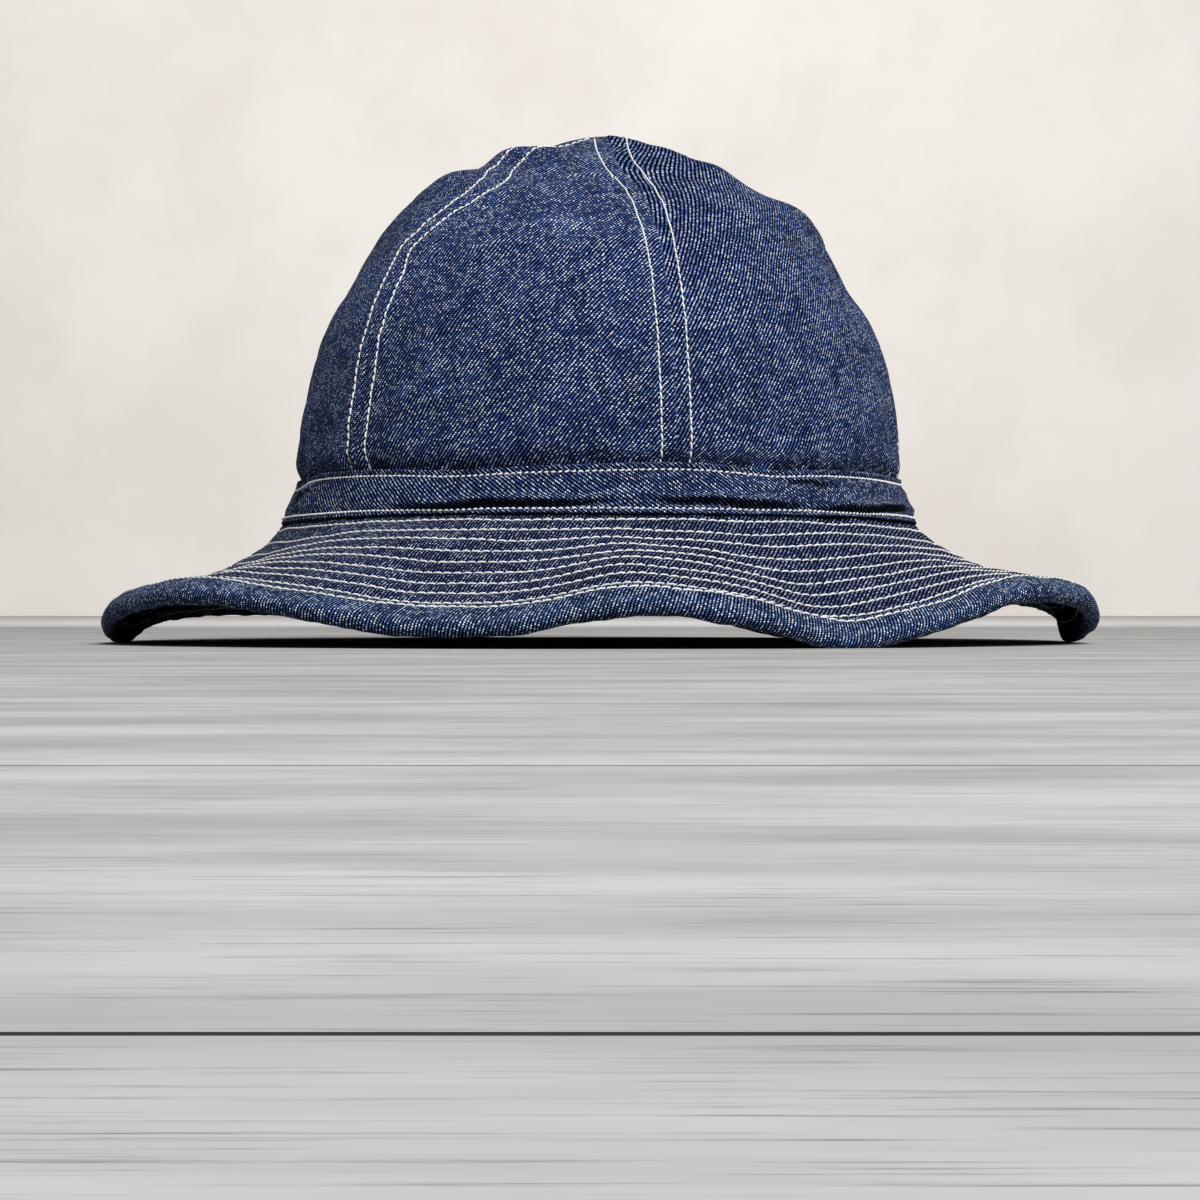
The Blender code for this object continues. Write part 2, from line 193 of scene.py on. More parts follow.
# Relief of the crown's cloth: a puffed side, waves, gathers, the pinch above the band, the slack
# side, and the gore widths between which the relief fades in below the peak
SIDE_PUFF = 0.0010
SIDE_PUFF_DISTANCE = 0.014
SIDE_PUFF_WIDTH = 0.0065
CLOTH_WAVE = 0.00034
WAVE_LENGTH = 0.013
FINE_WAVE_LENGTH = 0.0042
GATHER = 0.0005
GATHER_LENGTH = 0.0052
GATHER_TOP = 0.0065
BAND_PINCH = 0.0015
PINCH_HEIGHT = 0.0080
SIDE_SLACK = 0.0010
SLACK_HEIGHT = 0.0060
SLACK_AZIMUTH = 86.0
SLACK_WIDE = 34.0
PEAK_FADE = (0.004, 0.030)

# Shares of the crown's way up where the gores begin to close in on the peak, and where they end
CLOSING_ALONG = 0.985
PEAK_ALONG = 0.9995

# Creases of the crown's cloth, lengths and depths in metres. A tilt of 90 runs straight up.
CREASES = [
    # azimuth, along, length, tilt, width, depth, worn
    (-6.5, 0.675, 0.019, 4.0, 0.0011, 0.00060, 0.75),
    (-8.5, 0.512, 0.022, -3.0, 0.0012, 0.00055, 0.85),
    (-9.5, 0.600, 0.012, 60.0, 0.0024, 0.00030, 0.45),
    (-27.5, 0.462, 0.012, 14.0, 0.0012, 0.00045, 0.55),
    (-39.0, 0.470, 0.010, 82.0, 0.0013, 0.00045, 0.45),
    (-29.0, 0.570, 0.010, 40.0, 0.0022, 0.00060, 0.10),
    (33.5, 0.235, 0.060, 94.0, 0.0011, 0.00028, 0.35),
    (49.0, 0.265, 0.040, 98.0, 0.0012, 0.00030, 0.35),
    (57.0, 0.290, 0.034, 100.0, 0.0012, 0.00028, 0.30),
    (38.0, 0.590, 0.026, -42.0, 0.0014, 0.00035, 0.40),
    (-27.0, 0.180, 0.022, 10.0, 0.0016, 0.00035, 0.40),
    (-33.0, 0.300, 0.020, 4.0, 0.0014, 0.00040, 0.05),
    (172.0, 0.640, 0.030, 8.0, 0.0022, 0.00070, 0.40),
    (110.0, 0.600, 0.026, -18.0, 0.0024, 0.00060, 0.30),
    (-110.0, 0.400, 0.040, 80.0, 0.0014, 0.00040, 0.30),
]

# Broad places where shade is painted into the crown's denim, darkening it: low at the front and back,
# near the top, and on the two sides
PAINTED_SHADE_PLACES = [
    # azimuth, wide, along, long, share
    (0.0, 75.0, 0.13, 0.11, 0.30),
    (180.0, 75.0, 0.13, 0.11, 0.30),
    (-10.0, 60.0, 0.88, 0.13, 0.30),
    (76.0, 28.0, 0.48, 0.26, 0.24),
    (-62.0, 24.0, 0.68, 0.15, 0.24),
]

# Dips (above zero) and rises of the band's upper edge, in metres
BAND_WAVES = [
    # azimuth, wide, dip
    (-77.0, 10.0, 0.0030),
    (-26.0, 12.0, 0.0013),
    (14.0, 14.0, -0.0009),
    (33.0, 9.0, 0.0012),
    (75.0, 14.0, 0.0009),
    (130.0, 12.0, 0.0012),
    (-140.0, 14.0, 0.0014),
]

# Band: its edge rows, folds and relief. The tucks lie a share of the way up from its lower edge.
BAND_EDGE_ROW = 0.0010
BAND_TOP_FOLD = (180.0, 145.0, 110.0, 75.0, 38.0)
BAND_BOTTOM_FOLD = (40.0, 80.0, 120.0, 165.0)
BAND_FOLD_COLUMNS = len(BAND_TOP_FOLD)
BAND_PUFF = 0.00055
BAND_SINK = 0.00030
BAND_TOE = 0.0011
BAND_END_ALONG = 0.02
# Tuck depth at which the painted shade in a tuck is full
TUCK_DEPTH = 0.0007
BAND_TUCKS = [
    # azimuth, share up, length, tilt, width, depth
    (-17.0, 0.21, 0.068, 1.0, 0.0007, 0.0010),
    (22.0, 0.25, 0.044, -2.0, 0.0007, 0.0010),
    (56.0, 0.21, 0.054, 2.0, 0.0007, 0.0010),
    (40.0, 0.78, 0.020, -5.0, 0.0009, 0.0005),
    (-70.0, 0.60, 0.018, 12.0, 0.0011, 0.0004),
    (100.0, 0.28, 0.040, 3.0, 0.0010, 0.0008),
    (140.0, 0.30, 0.050, -3.0, 0.0010, 0.0009),
    (-160.0, 0.26, 0.050, 2.0, 0.0010, 0.0009),
    (-110.0, 0.28, 0.040, 3.0, 0.0010, 0.0008),
]

# Brim rows, as distances from the band, and the relief between them
FIRST_ROW = 0.0030
ROW_PITCH = 0.00595
BRIM_ROWS = 9
ROW_WANDER = 0.00028
BRIM_PUFF = 0.00026
BRIM_WAVE = 0.00018
BRIM_PUCKER = 0.00010

# How far the brim's cloth stops short of the rim, inside the binding
BRIM_HIDDEN = 0.0040

# Binding: its row, as a distance from either folded edge, its relief, and its places across
BINDING_ROW = 0.0020
BINDING_PUFF = 0.00022
BINDING_WAVE = 0.00016
BINDING_PUCKER = 0.00012
BINDING_WANDER = 0.0004
BINDING_STATIONS = np.array((0.0, 0.04, 0.09, 0.14, 0.20, 0.28, 0.38, 0.50, 0.62, 0.74, 0.87))
ROLL_STEPS = 15

# Stitches
BRIM_STITCH = 0.00272
SEAM_STITCH = 0.00225
BAND_STITCH = 0.00180
THREAD_RADIUS = 0.00026
THREAD_TWIST = 0.00055

# Boards that the hat stands on
BOARD_WIDTH = 0.145
BOARD_JOINT = 0.0008

# Distance of the backdrop behind the hat, and half the width of it and of the floor
BACKDROP_PLACE = 2.4
STUDIO_REACH = 3.0

# Lights, each a disk turned towards its aim
LIGHTS = [
    # name, place, aim, size, power, colour
    ("key", (0.990, -2.720, 2.730), (0.0, 0.0, 0.05), 2.4, 183.0, (1.0, 1.0, 1.0)),
    (
        "wall wash", (0.0, BACKDROP_PLACE - 1.8, 0.85), (0.0, BACKDROP_PLACE, 0.90),
        0.7, 16.5, (1.0, 0.99, 0.98),
    ),
]

# Camera, level, in front of the hat and just above the floor. The shifts are shares of the frame.
CAMERA_PLACE = (0.0, -1.0, 0.0108)
CAMERA_LENS = 103.5
CAMERA_SHIFT = (1 / 1200, 5 / 1200)

# Yarns of the twill
WARP_PITCH = 0.00051
WEFT_PITCH = 0.00040
GRAIN = 38.0
YARN_WOBBLE = 0.00040

# Cloths: screen colours of furrows, ridges and weft, strength of the dots, wear, and which side
# The furrow colours are dark indigo with painted shade between the yarns
DENIMS = [
    # name, furrow, ridge, weft, dots, fade, reverse
    ("crown denim", (1, 4, 18), (28, 58, 142), (148, 182, 248), 1.12, 0.6, False),
    ("crown denim reverse", (40, 50, 78), (92, 106, 138), (196, 206, 224), 0.90, 0.2, True),
    ("band denim", (2, 5, 20), (24, 46, 112), (140, 174, 238), 1.02, 0.5, False),
    ("brim denim", (3, 6, 23), (34, 49, 100), (144, 164, 222), 0.74, 0.6, False),
    ("binding denim", (2, 6, 22), (22, 48, 108), (140, 182, 244), 1.20, 0.6, False),
]

# Direction of the twill lines on each gore, in degrees from level, and on the other panels
GORE_TWILL = (51.0, 60.0, 120.0, 38.0, 60.0, 53.0)
BAND_TWILL = 142.0
BRIM_TWILL = 72.0
BINDING_TWILL = 70.0

# The brim laid out flat: its radius at the band, and its share of a full circle
FLAT_RADIUS = 0.1066
FLAT_SHARE = 0.89


def smooth(stations, values, at):
    """Cubic curve through the values, each slope taken from its neighbours."""
    slopes = np.gradient(values, stations, axis=0)
    left = np.clip(np.searchsorted(stations, at, side="right") - 1, 0, len(stations) - 2)
    span = stations[left + 1] - stations[left]
    share = (at - stations[left]) / span
    extra = (1,) * (values.ndim - 1)
    span, share = span.reshape(span.shape + extra), share.reshape(share.shape + extra)
    rise = values[left + 1] - values[left]
    bend_in = slopes[left] * span - rise
    bend_out = rise - slopes[left + 1] * span
    bend = (1 - share) * bend_in + share * bend_out
    return values[left] + rise * share + share * (1 - share) * bend


def unit(vectors):
    return vectors / np.linalg.norm(vectors, axis=-1, keepdims=True)


def bell(distance, width):
    return np.exp(-((distance / width) ** 2))


def ease(values, start, end):
    """Runs smoothly from 0 at start to 1 at end."""
    share = np.clip((values - start) / (end - start), 0.0, 1.0)
    return share * share * (3 - 2 * share)


def turn_between(azimuth, other):
    """Smallest angle from one azimuth to the other, in degrees."""
    return (azimuth - other + 180.0) % 360.0 - 180.0


def closed(rows):
    return np.concatenate([rows, rows[:1]])


def walked_along(points):
    """Distances of the points of a path from its first one."""
    steps = np.linalg.norm(np.diff(points, axis=0), axis=1)
    return np.concatenate([[0.0], np.cumsum(steps)])


def walked_across(rings):
    """Distances of the points of each ring from its first one, along the ring."""
    steps = np.linalg.norm(np.diff(rings, axis=1), axis=2)
    return np.concatenate([np.zeros((len(rings), 1)), np.cumsum(steps, axis=1)], axis=1)


def inset_from(walked):
    """Distances of a ring's points from the nearer of its two ends."""
    return np.minimum(walked, walked[:, -1:] - walked)


def add_object(name, data):
    made = bpy.data.objects.new(name, data)
    bpy.context.scene.collection.objects.link(made)
    return made


def ripples(points, size, seed):
    """Smooth irregular relief, mostly between -1 and 1, with bumps about one size apart."""
    chance = np.random.default_rng(seed)
    directions = unit(chance.normal(size=(RIPPLE_WAVES, points.shape[-1])))
    lengths = size * chance.uniform(1.1, 2.6, (RIPPLE_WAVES, 1))
    phases = chance.uniform(0.0, 2 * math.pi, RIPPLE_WAVES)
    turns = 2 * math.pi * points @ (directions / lengths).T + phases
    return np.sin(turns).sum(axis=-1) / math.sqrt(RIPPLE_WAVES)


def section_columns():
    """The crown's sections as columns, led by the share of the way up its side, and that way."""
    height, side, front, back = np.array(CROWN_SECTIONS).T
    steps = np.hypot(np.diff(height * CROWN_HEIGHT), np.diff(side * CROWN_WIDTH / 2))
    along = np.concatenate([[0.0], np.cumsum(steps)]) / steps.sum()
    return along, height, side, front, back, steps.sum()


ALONG, HEIGHT, SIDE, FRONT, BACK, CROWN_WAY = section_columns()
SEAM_ALONG = ALONG[int(np.argmin(np.abs(HEIGHT)))]


def plan_oval(azimuth, side, front, back):
    """Points of an egg-shaped outline, given as shares of the half width and half length."""
    angle = np.radians(azimuth)
    depth = np.where(np.cos(angle) > 0, front, back)
    x = side * CROWN_WIDTH / 2 * np.sin(angle)
    y = -depth * CROWN_LENGTH / 2 * np.cos(angle)
    return np.stack([x, y, np.zeros_like(x)], axis=-1)


def outward(azimuth):
    """Level directions square to the head oval."""
    angle = np.radians(azimuth)
    across, forward = np.sin(angle) / CROWN_WIDTH, -np.cos(angle) / CROWN_LENGTH
    return unit(np.stack([across, forward, np.zeros_like(across)], axis=-1))


def seam_azimuths():
    """Azimuths that divide the head oval into the gores' shares, the last one a full turn on."""
    fine = FIRST_SEAM_AZIMUTH + np.linspace(0.0, 360.0, 721)
    walked = walked_along(plan_oval(fine, 1.0, 1.0, 1.0))
    ends = np.concatenate([[0.0], np.cumsum(GORE_SHARES)]) / sum(GORE_SHARES)
    return np.interp(ends * walked[-1], walked, fine)


SEAMS = seam_azimuths()


def seam_azimuth(number, along):
    """Azimuths of a seam on its way up. Seam 6 is the first one again, a full turn on."""
    azimuth = np.full(np.shape(along), SEAMS[number])
    for seam, sway_along, long, degrees in SEAM_SWAYS:
        if seam == number % GORES:
            azimuth = azimuth + degrees * bell(along - sway_along, long)
    return azimuth


def ridge(azimuth, along):
    """Share by which the crown stands out at its stiff seams, growing towards the peak."""
    turned = SEAMS[0] + (azimuth - SEAMS[0]) % 360.0
    gore = np.clip(np.searchsorted(SEAMS, turned, side="right") - 1, 0, GORES - 1)
    across = (turned - SEAMS[gore]) / (SEAMS[gore + 1] - SEAMS[gore])
    return GORE_RIDGE * np.maximum(along - SEAM_ALONG, 0.0) * np.cos(2 * math.pi * across)


def crown_point(azimuth, along):
    """Points of the crown's outer face. Along runs from its hidden lower edge (0) to the peak (1)."""
    azimuth, along = np.broadcast_arrays(np.asarray(azimuth, float), np.asarray(along, float))
    side, front, back, height = [smooth(ALONG, column, along) for column in (SIDE, FRONT, BACK, HEIGHT)]
    point = plan_oval(azimuth, side, front, back) * (1 + ridge(azimuth, along))[..., None]
    point[..., 0] += PEAK_SHIFT * np.maximum(height, 0.0) ** 4
    point[..., 2] = CROWN_SEAM_HEIGHT + height * CROWN_HEIGHT
    away = unit(point - np.array([0.0, 0.0, CROWN_SEAM_HEIGHT]))
    for dent_azimuth, dent_along, wide, long, push in CROWN_DENTS:
        share = bell(turn_between(azimuth, dent_azimuth), wide) * bell(along - dent_along, long)
        point = point + away * (CROWN_HEIGHT * push * share)[..., None]
    return point


def crown_normal(azimuth, along):
    """Outward normals of the crown's outer face."""
    along = np.minimum(along, 0.993)
    round_step = crown_point(azimuth + 0.5, along) - crown_point(azimuth - 0.5, along)
    up_step = crown_point(azimuth, along + 0.002) - crown_point(azimuth, along - 0.002)
    return unit(np.cross(round_step, up_step))


WIDTH_STATIONS = np.linspace(0.0, 1.0, 161)


def gore_widths(number):
    """Width of a gore at the width stations."""
    start, end = seam_azimuth(number, WIDTH_STATIONS), seam_azimuth(number + 1, WIDTH_STATIONS)
    azimuths = start[:, None] + (end - start)[:, None] * np.linspace(0.0, 1.0, 25)
    points = crown_point(azimuths, WIDTH_STATIONS[:, None])
    return np.linalg.norm(np.diff(points, axis=1), axis=2).sum(axis=1)


GORE_WIDTHS = [gore_widths(number) for number in range(GORES)]


def seam_relief(distance, way):
    """Relief of the cloth beside a seam: groove, raised allowance, sunk row and puckers."""
    welt = ease(distance, 0.0, WELT_RISE) - ease(distance, *WELT_END)
    groove = bell(distance, GROOVE_WIDTH)
    row = bell(distance - SEAM_ROW_DISTANCE, ROW_WIDTH)
    stagger = ripples(np.stack([way, distance * 0.3], axis=-1), PUCKER_LENGTH, 11)
    pucker = stagger * bell(distance - SEAM_ROW_DISTANCE, PUCKER_WIDTH)
    return SEAM_WELT * welt - SEAM_GROOVE * groove - ROW_SINK * row + SEAM_PUCKER * pucker


def crease_offsets(azimuth, along, point, crease_azimuth, crease_along, tilt):
    """Distances along and across a crease's own line."""
    radius = np.hypot(point[..., 0], point[..., 1])
    right = radius * np.radians(turn_between(azimuth, crease_azimuth))
    up = (along - crease_along) * CROWN_WAY
    cosine, sine = math.cos(math.radians(tilt)), math.sin(math.radians(tilt))
    return right * cosine + up * sine, up * cosine - right * sine


def crease_relief(azimuth, along, point):
    """Depth of the creases (below zero) with a raised lip above each, and how worn they are."""
    relief = np.zeros(azimuth.shape)
    wear_and_shade = np.zeros(azimuth.shape)
    for crease_azimuth, crease_along, length, tilt, width, depth, rubbed in CREASES:
        lengthwise, across = crease_offsets(azimuth, along, point, crease_azimuth, crease_along, tilt)
        wander = 0.6 * width * np.sin(lengthwise / length * 9.0 + crease_azimuth)
        fade = np.exp(-((2 * lengthwise / length) ** 4))
        relief -= depth * fade * bell(across - wander, width)
        relief += 0.7 * depth * fade * bell(across - wander - 2.0 * width, 1.2 * width)
        wear_and_shade += rubbed * fade * bell(across - wander - 1.6 * width, 1.3 * width)
    return relief, wear_and_shade


def band_pull(azimuth, above, gathers):
    """Relief just above the band: gathers, a pinch at the front and back, and the slack side."""
    relief = GATHER * (gathers - 0.35) * bell(above - 0.002, GATHER_TOP) * ease(above, -0.004, 0.002)
    pinch = np.cos(np.radians(azimuth)) ** 2 * bell(np.maximum(above, 0.0), PINCH_HEIGHT)
    slack = bell(turn_between(azimuth, SLACK_AZIMUTH), SLACK_WIDE)
    slack = slack * bell(above - SLACK_HEIGHT, SLACK_HEIGHT)
    return relief - BAND_PINCH * pinch - SIDE_SLACK * slack


def crown_wear_and_shade(azimuth, along, distance, above, gathers, near_peak):
    """Wear beside the seams, less painted shade: on the cloth just above the band and over the painted
    shade places.
    """
    wear_and_shade = (0.25 * bell(distance - 0.0050, 0.0008) + 0.5 * bell(distance, 0.0004)) * near_peak
    # Painted shade on the crown's cloth just above the band, in the gathers, where it folds in under
    # the overhang
    wear_and_shade = wear_and_shade - 0.6 * bell(above - BAND_ABOVE_SEAM, 0.0026) * ease(gathers, -0.8, 0.6)
    # Painted shade over the broad places
    for dark_azimuth, wide, dark_along, long, dark in PAINTED_SHADE_PLACES:
        near = bell(turn_between(azimuth, dark_azimuth), wide)
        wear_and_shade = wear_and_shade - dark * near * bell(along - dark_along, long)
    return wear_and_shade


def gore_surface(number, share, along):
    """Outer face of a dressed gore: points, normals, distances from the nearer seam, and wear with
    painted shade.
    """
    start, end = seam_azimuth(number, along), seam_azimuth(number + 1, along)
    azimuth = start + (end - start) * share
    width = np.interp(along, WIDTH_STATIONS, GORE_WIDTHS[number])
    point, normal = crown_point(azimuth, along), crown_normal(azimuth, along)
    distance = np.minimum(share, 1 - share) * width
    near_peak = ease(width, *PEAK_FADE)
    relief = seam_relief(distance, along * CROWN_WAY + 0.31 * number) * near_peak
    relief += CLOTH_WAVE * ripples(point, WAVE_LENGTH, 21) * near_peak
    relief += 0.25 * CLOTH_WAVE * ripples(point, FINE_WAVE_LENGTH, 22) * near_peak
    if number == 0:
        relief += SIDE_PUFF * bell((1 - share) * width - SIDE_PUFF_DISTANCE, SIDE_PUFF_WIDTH)
    above = (along - SEAM_ALONG) * CROWN_WAY
    gathers = ripples(np.stack([azimuth * 0.0016, above * 0.25], axis=-1), GATHER_LENGTH, 23)
    relief += band_pull(azimuth, above, gathers)
    creased, wear_and_shade = crease_relief(azimuth, along, point)
    relief = (relief + creased) * (ease(above, -0.006, 0.001) * 0.94 + 0.06)
    wear_and_shade = wear_and_shade + crown_wear_and_shade(azimuth, along, distance, above, gathers, near_peak)
    return point + normal * relief[..., None], normal, distance, wear_and_shade


def turned_weave(right, up, twill):
    """Weave coordinates of a flat panel whose twill lines run at the given angle."""
    right, up = np.broadcast_arrays(right, up)
    angle = math.radians(GRAIN - twill)
    return np.stack([
        right * math.cos(angle) - up * math.sin(angle),
        right * math.sin(angle) + up * math.cos(angle),
    ], axis=-1)


class Piece:
    """Points, faces and weave coordinates of one dressed piece, gathered grid by grid."""

    def __init__(self):
        self.points, self.faces, self.weave, self.slots, self.wear_and_shade = [], [], [], [], []
        self.count = 0

    def add(self, points, weave, wear_and_shade=None, slot=0, loop=False, flip=False):
        """Adds a grid of points. A looped one closes on its first row, with one more row of weave."""
        rows, columns = points.shape[:2]
        ids = self.count + np.arange(rows * columns).reshape(rows, columns)
        self.count += rows * columns
        self.strip(closed(ids) if loop else ids, weave, slot, flip)
        self.points.append(points.reshape(-1, 3))
        self.wear_and_shade.append(np.zeros(rows * columns) if wear_and_shade is None else wear_and_shade.reshape(-1))
        return ids

    def strip(self, ids, weave, slot=0, flip=False):
        """Adds the faces of a grid, or of several grids, of vertex numbers."""
        low, high = slice(0, -1), slice(1, None)
        corners = [(low, low), (low, high), (high, high), (high, low)]
        if flip:
            corners.reverse()
        self.faces.append(np.stack([ids[..., a, b] for a, b in corners], axis=-1).reshape(-1, 4))
        self.weave.append(np.stack([weave[..., a, b, :] for a, b in corners], axis=-2).reshape(-1, 2))
        self.slots.append(np.full(len(self.faces[-1]), slot))

    def finish(self, name, materials, slot, nodes=()):
        """Makes the object, and has it ride on the hat and stand for its nodes."""
        mesh = bpy.data.meshes.new(name)
        mesh.from_pydata(np.concatenate(self.points).tolist(), [], np.concatenate(self.faces).tolist())
        layer = mesh.uv_layers.new(name="Weave")
        layer.data.foreach_set("uv", np.concatenate(self.weave).ravel())
        # The wear_and_shade attribute: above zero the denim is rubbed pale, below zero it is darkened
        # as painted shade
        wear_and_shade = mesh.attributes.new("wear_and_shade", "FLOAT", "POINT")
        wear_and_shade.data.foreach_set("value", np.concatenate(self.wear_and_shade))
        for material in materials:
            mesh.materials.append(material)
        mesh.polygons.foreach_set("material_index", np.concatenate(self.slots).astype(np.int32))
        mesh.shade_smooth()
        mesh.update()
        made = add_object(name, mesh)
        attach(made, "root")
        if nodes:
            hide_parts(*nodes)


def gore_columns(width):
    """Places across a gore of one width as shares of it, close together at its seams."""
    zone = min(SEAM_ZONE, 0.42 * width)
    shares = np.array(SEAM_COLUMNS) / SEAM_COLUMNS[-1] * zone / width
    middle = np.linspace(shares[-1], 1 - shares[-1], GORE_MIDDLE_COLUMNS + 2)[1:-1]
    return np.concatenate([shares, middle, 1 - shares[::-1]])


def add_gore(number, materials):
    """One crown panel with its outer face, its inner face and the lower edge between them."""
    along = np.linspace(0.0, PEAK_ALONG, GORE_ROWS)
    widths = np.interp(along, WIDTH_STATIONS, GORE_WIDTHS[number])
    share = np.array([gore_columns(max(width, 0.0004)) for width in widths])
    level = np.broadcast_to(along[:, None], share.shape)
    outer, normal, distance, wear_and_shade = gore_surface(number, share, level)
    peak = crown_point(np.linspace(0.0, 300.0, 6), np.full(6, 1.0)).mean(axis=0)
    closing = ease(along, CLOSING_ALONG, PEAK_ALONG)[:, None, None]
    outer = outer * (1 - closing) + (peak - np.array([0.0, 0.0, 0.0004])) * closing
    weave = turned_weave((share - 0.5) * widths[:, None], level * CROWN_WAY, GORE_TWILL[number])
    single = ease(distance, ALLOWANCE_WIDTH - 0.0004, ALLOWANCE_WIDTH + 0.0005)
    allowance = ALLOWANCE_CLOTH * (1 - single)
    inner = outer - normal * (CLOTH + allowance * ease(widths, *PEAK_FADE)[:, None])[..., None]
    piece = Piece()
    outer_ids = piece.add(outer, weave, wear_and_shade)
    inner_ids = piece.add(inner[::2], weave[::2], None, 1, flip=True)
    piece.strip(np.stack([inner_ids[0], outer_ids[0]]), np.stack([weave[0], weave[0]]), 1)
    piece.finish(f"gore_{number + 1}_cloth", materials, "crown_denim", [f"crown_gore_{number + 1}"])


def brim_root(azimuth):
    """Where the brim's upper face begins, just under the crown's lower edge, behind the band."""
    edge = crown_point(azimuth, 0.0)
    return edge - outward(azimuth) * CLOTH - np.array([0.0, 0.0, SEAM_GAP])


def fold_slopes(azimuth):
    """The brim's slopes at the fold stations, one row for each, smooth round the hat."""
    folds = np.array(BRIM_FOLDS)
    stations = np.concatenate([folds[-2:, 0] - 360.0, folds[:, 0], folds[:2, 0] + 360.0])
    slopes = np.concatenate([folds[-2:, 1:], folds[:, 1:], folds[:2, 1:]])
    return smooth(stations, slopes, turn_between(azimuth, 0.0)).T


class BrimPaths:
    """The upper face of the brim along lines from the crown to the edge, one for each azimuth."""

    def __init__(self, azimuths):
        self.azimuths = azimuths
        self.root = brim_root(azimuths)
        self.out = outward(azimuths)
        walked = np.linspace(0.0, BRIM_TUCK + BRIM_WIDTH, PATH_STEPS)
        self.step = walked[1]
        shares = np.clip((walked - BRIM_TUCK) / BRIM_WIDTH, 0.0, 1.0)
        visible = smooth(FOLD_STATIONS, fold_slopes(azimuths), shares)
        blend = np.clip(walked / (2 * BRIM_TUCK), 0.0, 1.0)[:, None]
        self.slope = np.radians(TUCK_SLOPE * (1 - blend) + visible * blend)
        self.reach = self.summed(np.cos(self.slope))
        self.drop = self.summed(np.sin(self.slope))

    def summed(self, rates):
        start = np.zeros((1, rates.shape[1]))
        return np.concatenate([start, np.cumsum(rates[:-1] * self.step, axis=0)])

    def frames(self, walks):
        """Points, directions to the edge and upward normals at distances from the root.

        Walks has a row for each azimuth.
        """
        place = np.clip(walks / self.step, 0.0, PATH_STEPS - 1.001)
        low = place.astype(int)
        share = place - low
        path = np.arange(len(self.azimuths))[:, None]
        slope, reach, drop = [
            (table[low, path] * (1 - share) + table[low + 1, path] * share)[..., None]
            for table in (self.slope, self.reach, self.drop)
        ]
        up = np.array([0.0, 0.0, 1.0])
        out = self.out[:, None, :]
        point = self.root[:, None, :] + out * reach - up * drop
        along = out * np.cos(slope) - up * np.sin(slope)
        normal = out * np.sin(slope) + up * np.cos(slope)
        return point, along, normal


def ring_azimuths(stations):
    """Azimuths round the hat from the back, where the band, brim and binding have their joins."""
    return np.arange(stations) * 360.0 / stations - 180.0


def round_place(azimuth):
    """Places on a circle of radius 1, for a wander that closes round the hat."""
    angle = np.radians(azimuth)
    return np.stack([np.cos(angle), np.sin(angle)], axis=-1)


def row_distance(row, azimuth):
    """Distance of a brim row from the band. It wanders a little, as a hand-guided row does."""
    around = round_place(azimuth)
    wander = ROW_WANDER * (ripples(around, 0.5, 100 + row) + 0.5 * ripples(around, 0.12, 200 + row))
    return FIRST_ROW + ROW_PITCH * row + wander


def binding_edge(azimuth):
    """Distance of the binding's inner edge from the band."""
    return BRIM_WIDTH - BINDING_WIDTH + BINDING_WANDER * ripples(round_place(azimuth), 0.35, 300)


def brim_relief(azimuth, distance, point, seed):
    """Puffed cloth between the sunk rows, drawn into small slanting puckers."""
    relief = np.full(distance.shape, BRIM_PUFF * 0.5)
    near = np.full(distance.shape, BRIM_WIDTH)
    for row in range(BRIM_ROWS):
        offset = distance - row_distance(row, azimuth)
        relief = relief - BRIM_PUFF * bell(offset, 0.0009)
        near = np.minimum(near, np.abs(offset))
    slanted = np.stack([np.radians(azimuth) * 0.12 + distance * 0.6, distance * 0.25], axis=-1)
    relief = relief + BRIM_PUCKER * ripples(slanted, 0.0030, seed) * ease(near, 0.0, 0.0015)
    return relief + BRIM_WAVE * ripples(point, 0.011, seed + 1)


def brim_weave(azimuth, distance):
    """Weave coordinates of the brim laid out flat."""
    angle = np.radians(azimuth) * FLAT_SHARE
    radius = FLAT_RADIUS + distance
    return turned_weave(radius * np.sin(angle), -radius * np.cos(angle), BRIM_TWILL)


def brim_face(paths, distance, side, seed):
    """Points and outward normals of the brim's upper (side 1) or lower (side -1) face."""
    point, normal = paths.frames(distance + BRIM_TUCK)[::2]
    relief = brim_relief(paths.azimuths[:, None], distance, point, seed)
    depth = 0.0 if side > 0 else BRIM_THICKNESS
    return point - normal * depth + side * normal * relief[..., None], side * normal


def doubled(azimuths):
    """The azimuths with the first one repeated a full turn on, for weave coordinates."""
    return np.append(azimuths, azimuths[0] + 360.0)


def add_brim(materials):
    azimuths = ring_azimuths(RING_STATIONS)
    paths = BrimPaths(azimuths)
    end = BRIM_WIDTH - BRIM_HIDDEN
    upper_walks = np.linspace(-BRIM_TUCK, end, BRIM_COLUMNS)
    lower_walks = np.linspace(end, -BRIM_TUCK, UNDERSIDE_COLUMNS)
    upper = brim_face(paths, np.tile(upper_walks, (RING_STATIONS, 1)), 1, 41)[0]
    lower = brim_face(paths, np.tile(lower_walks, (RING_STATIONS, 1)), -1, 43)[0]
    walks = np.concatenate([upper_walks, lower_walks, upper_walks[:1]])
    points = np.concatenate([upper, lower], axis=1)
    weave = brim_weave(doubled(azimuths)[:, None], walks[None, :])
    # Painted shade on the brim's cloth next to the band, on both faces
    wear_and_shade = np.tile(-0.9 * bell(walks[:-1] - 0.0004, 0.0011), (RING_STATIONS, 1))
    piece = Piece()
    ids = piece.add(points, weave[:, :-1], wear_and_shade, loop=True)
    piece.strip(closed(ids)[:, [-1, 0]], weave[:, [-1, 0]])
    piece.finish("brim_cloth", materials, "brim_denim", ["brim"])


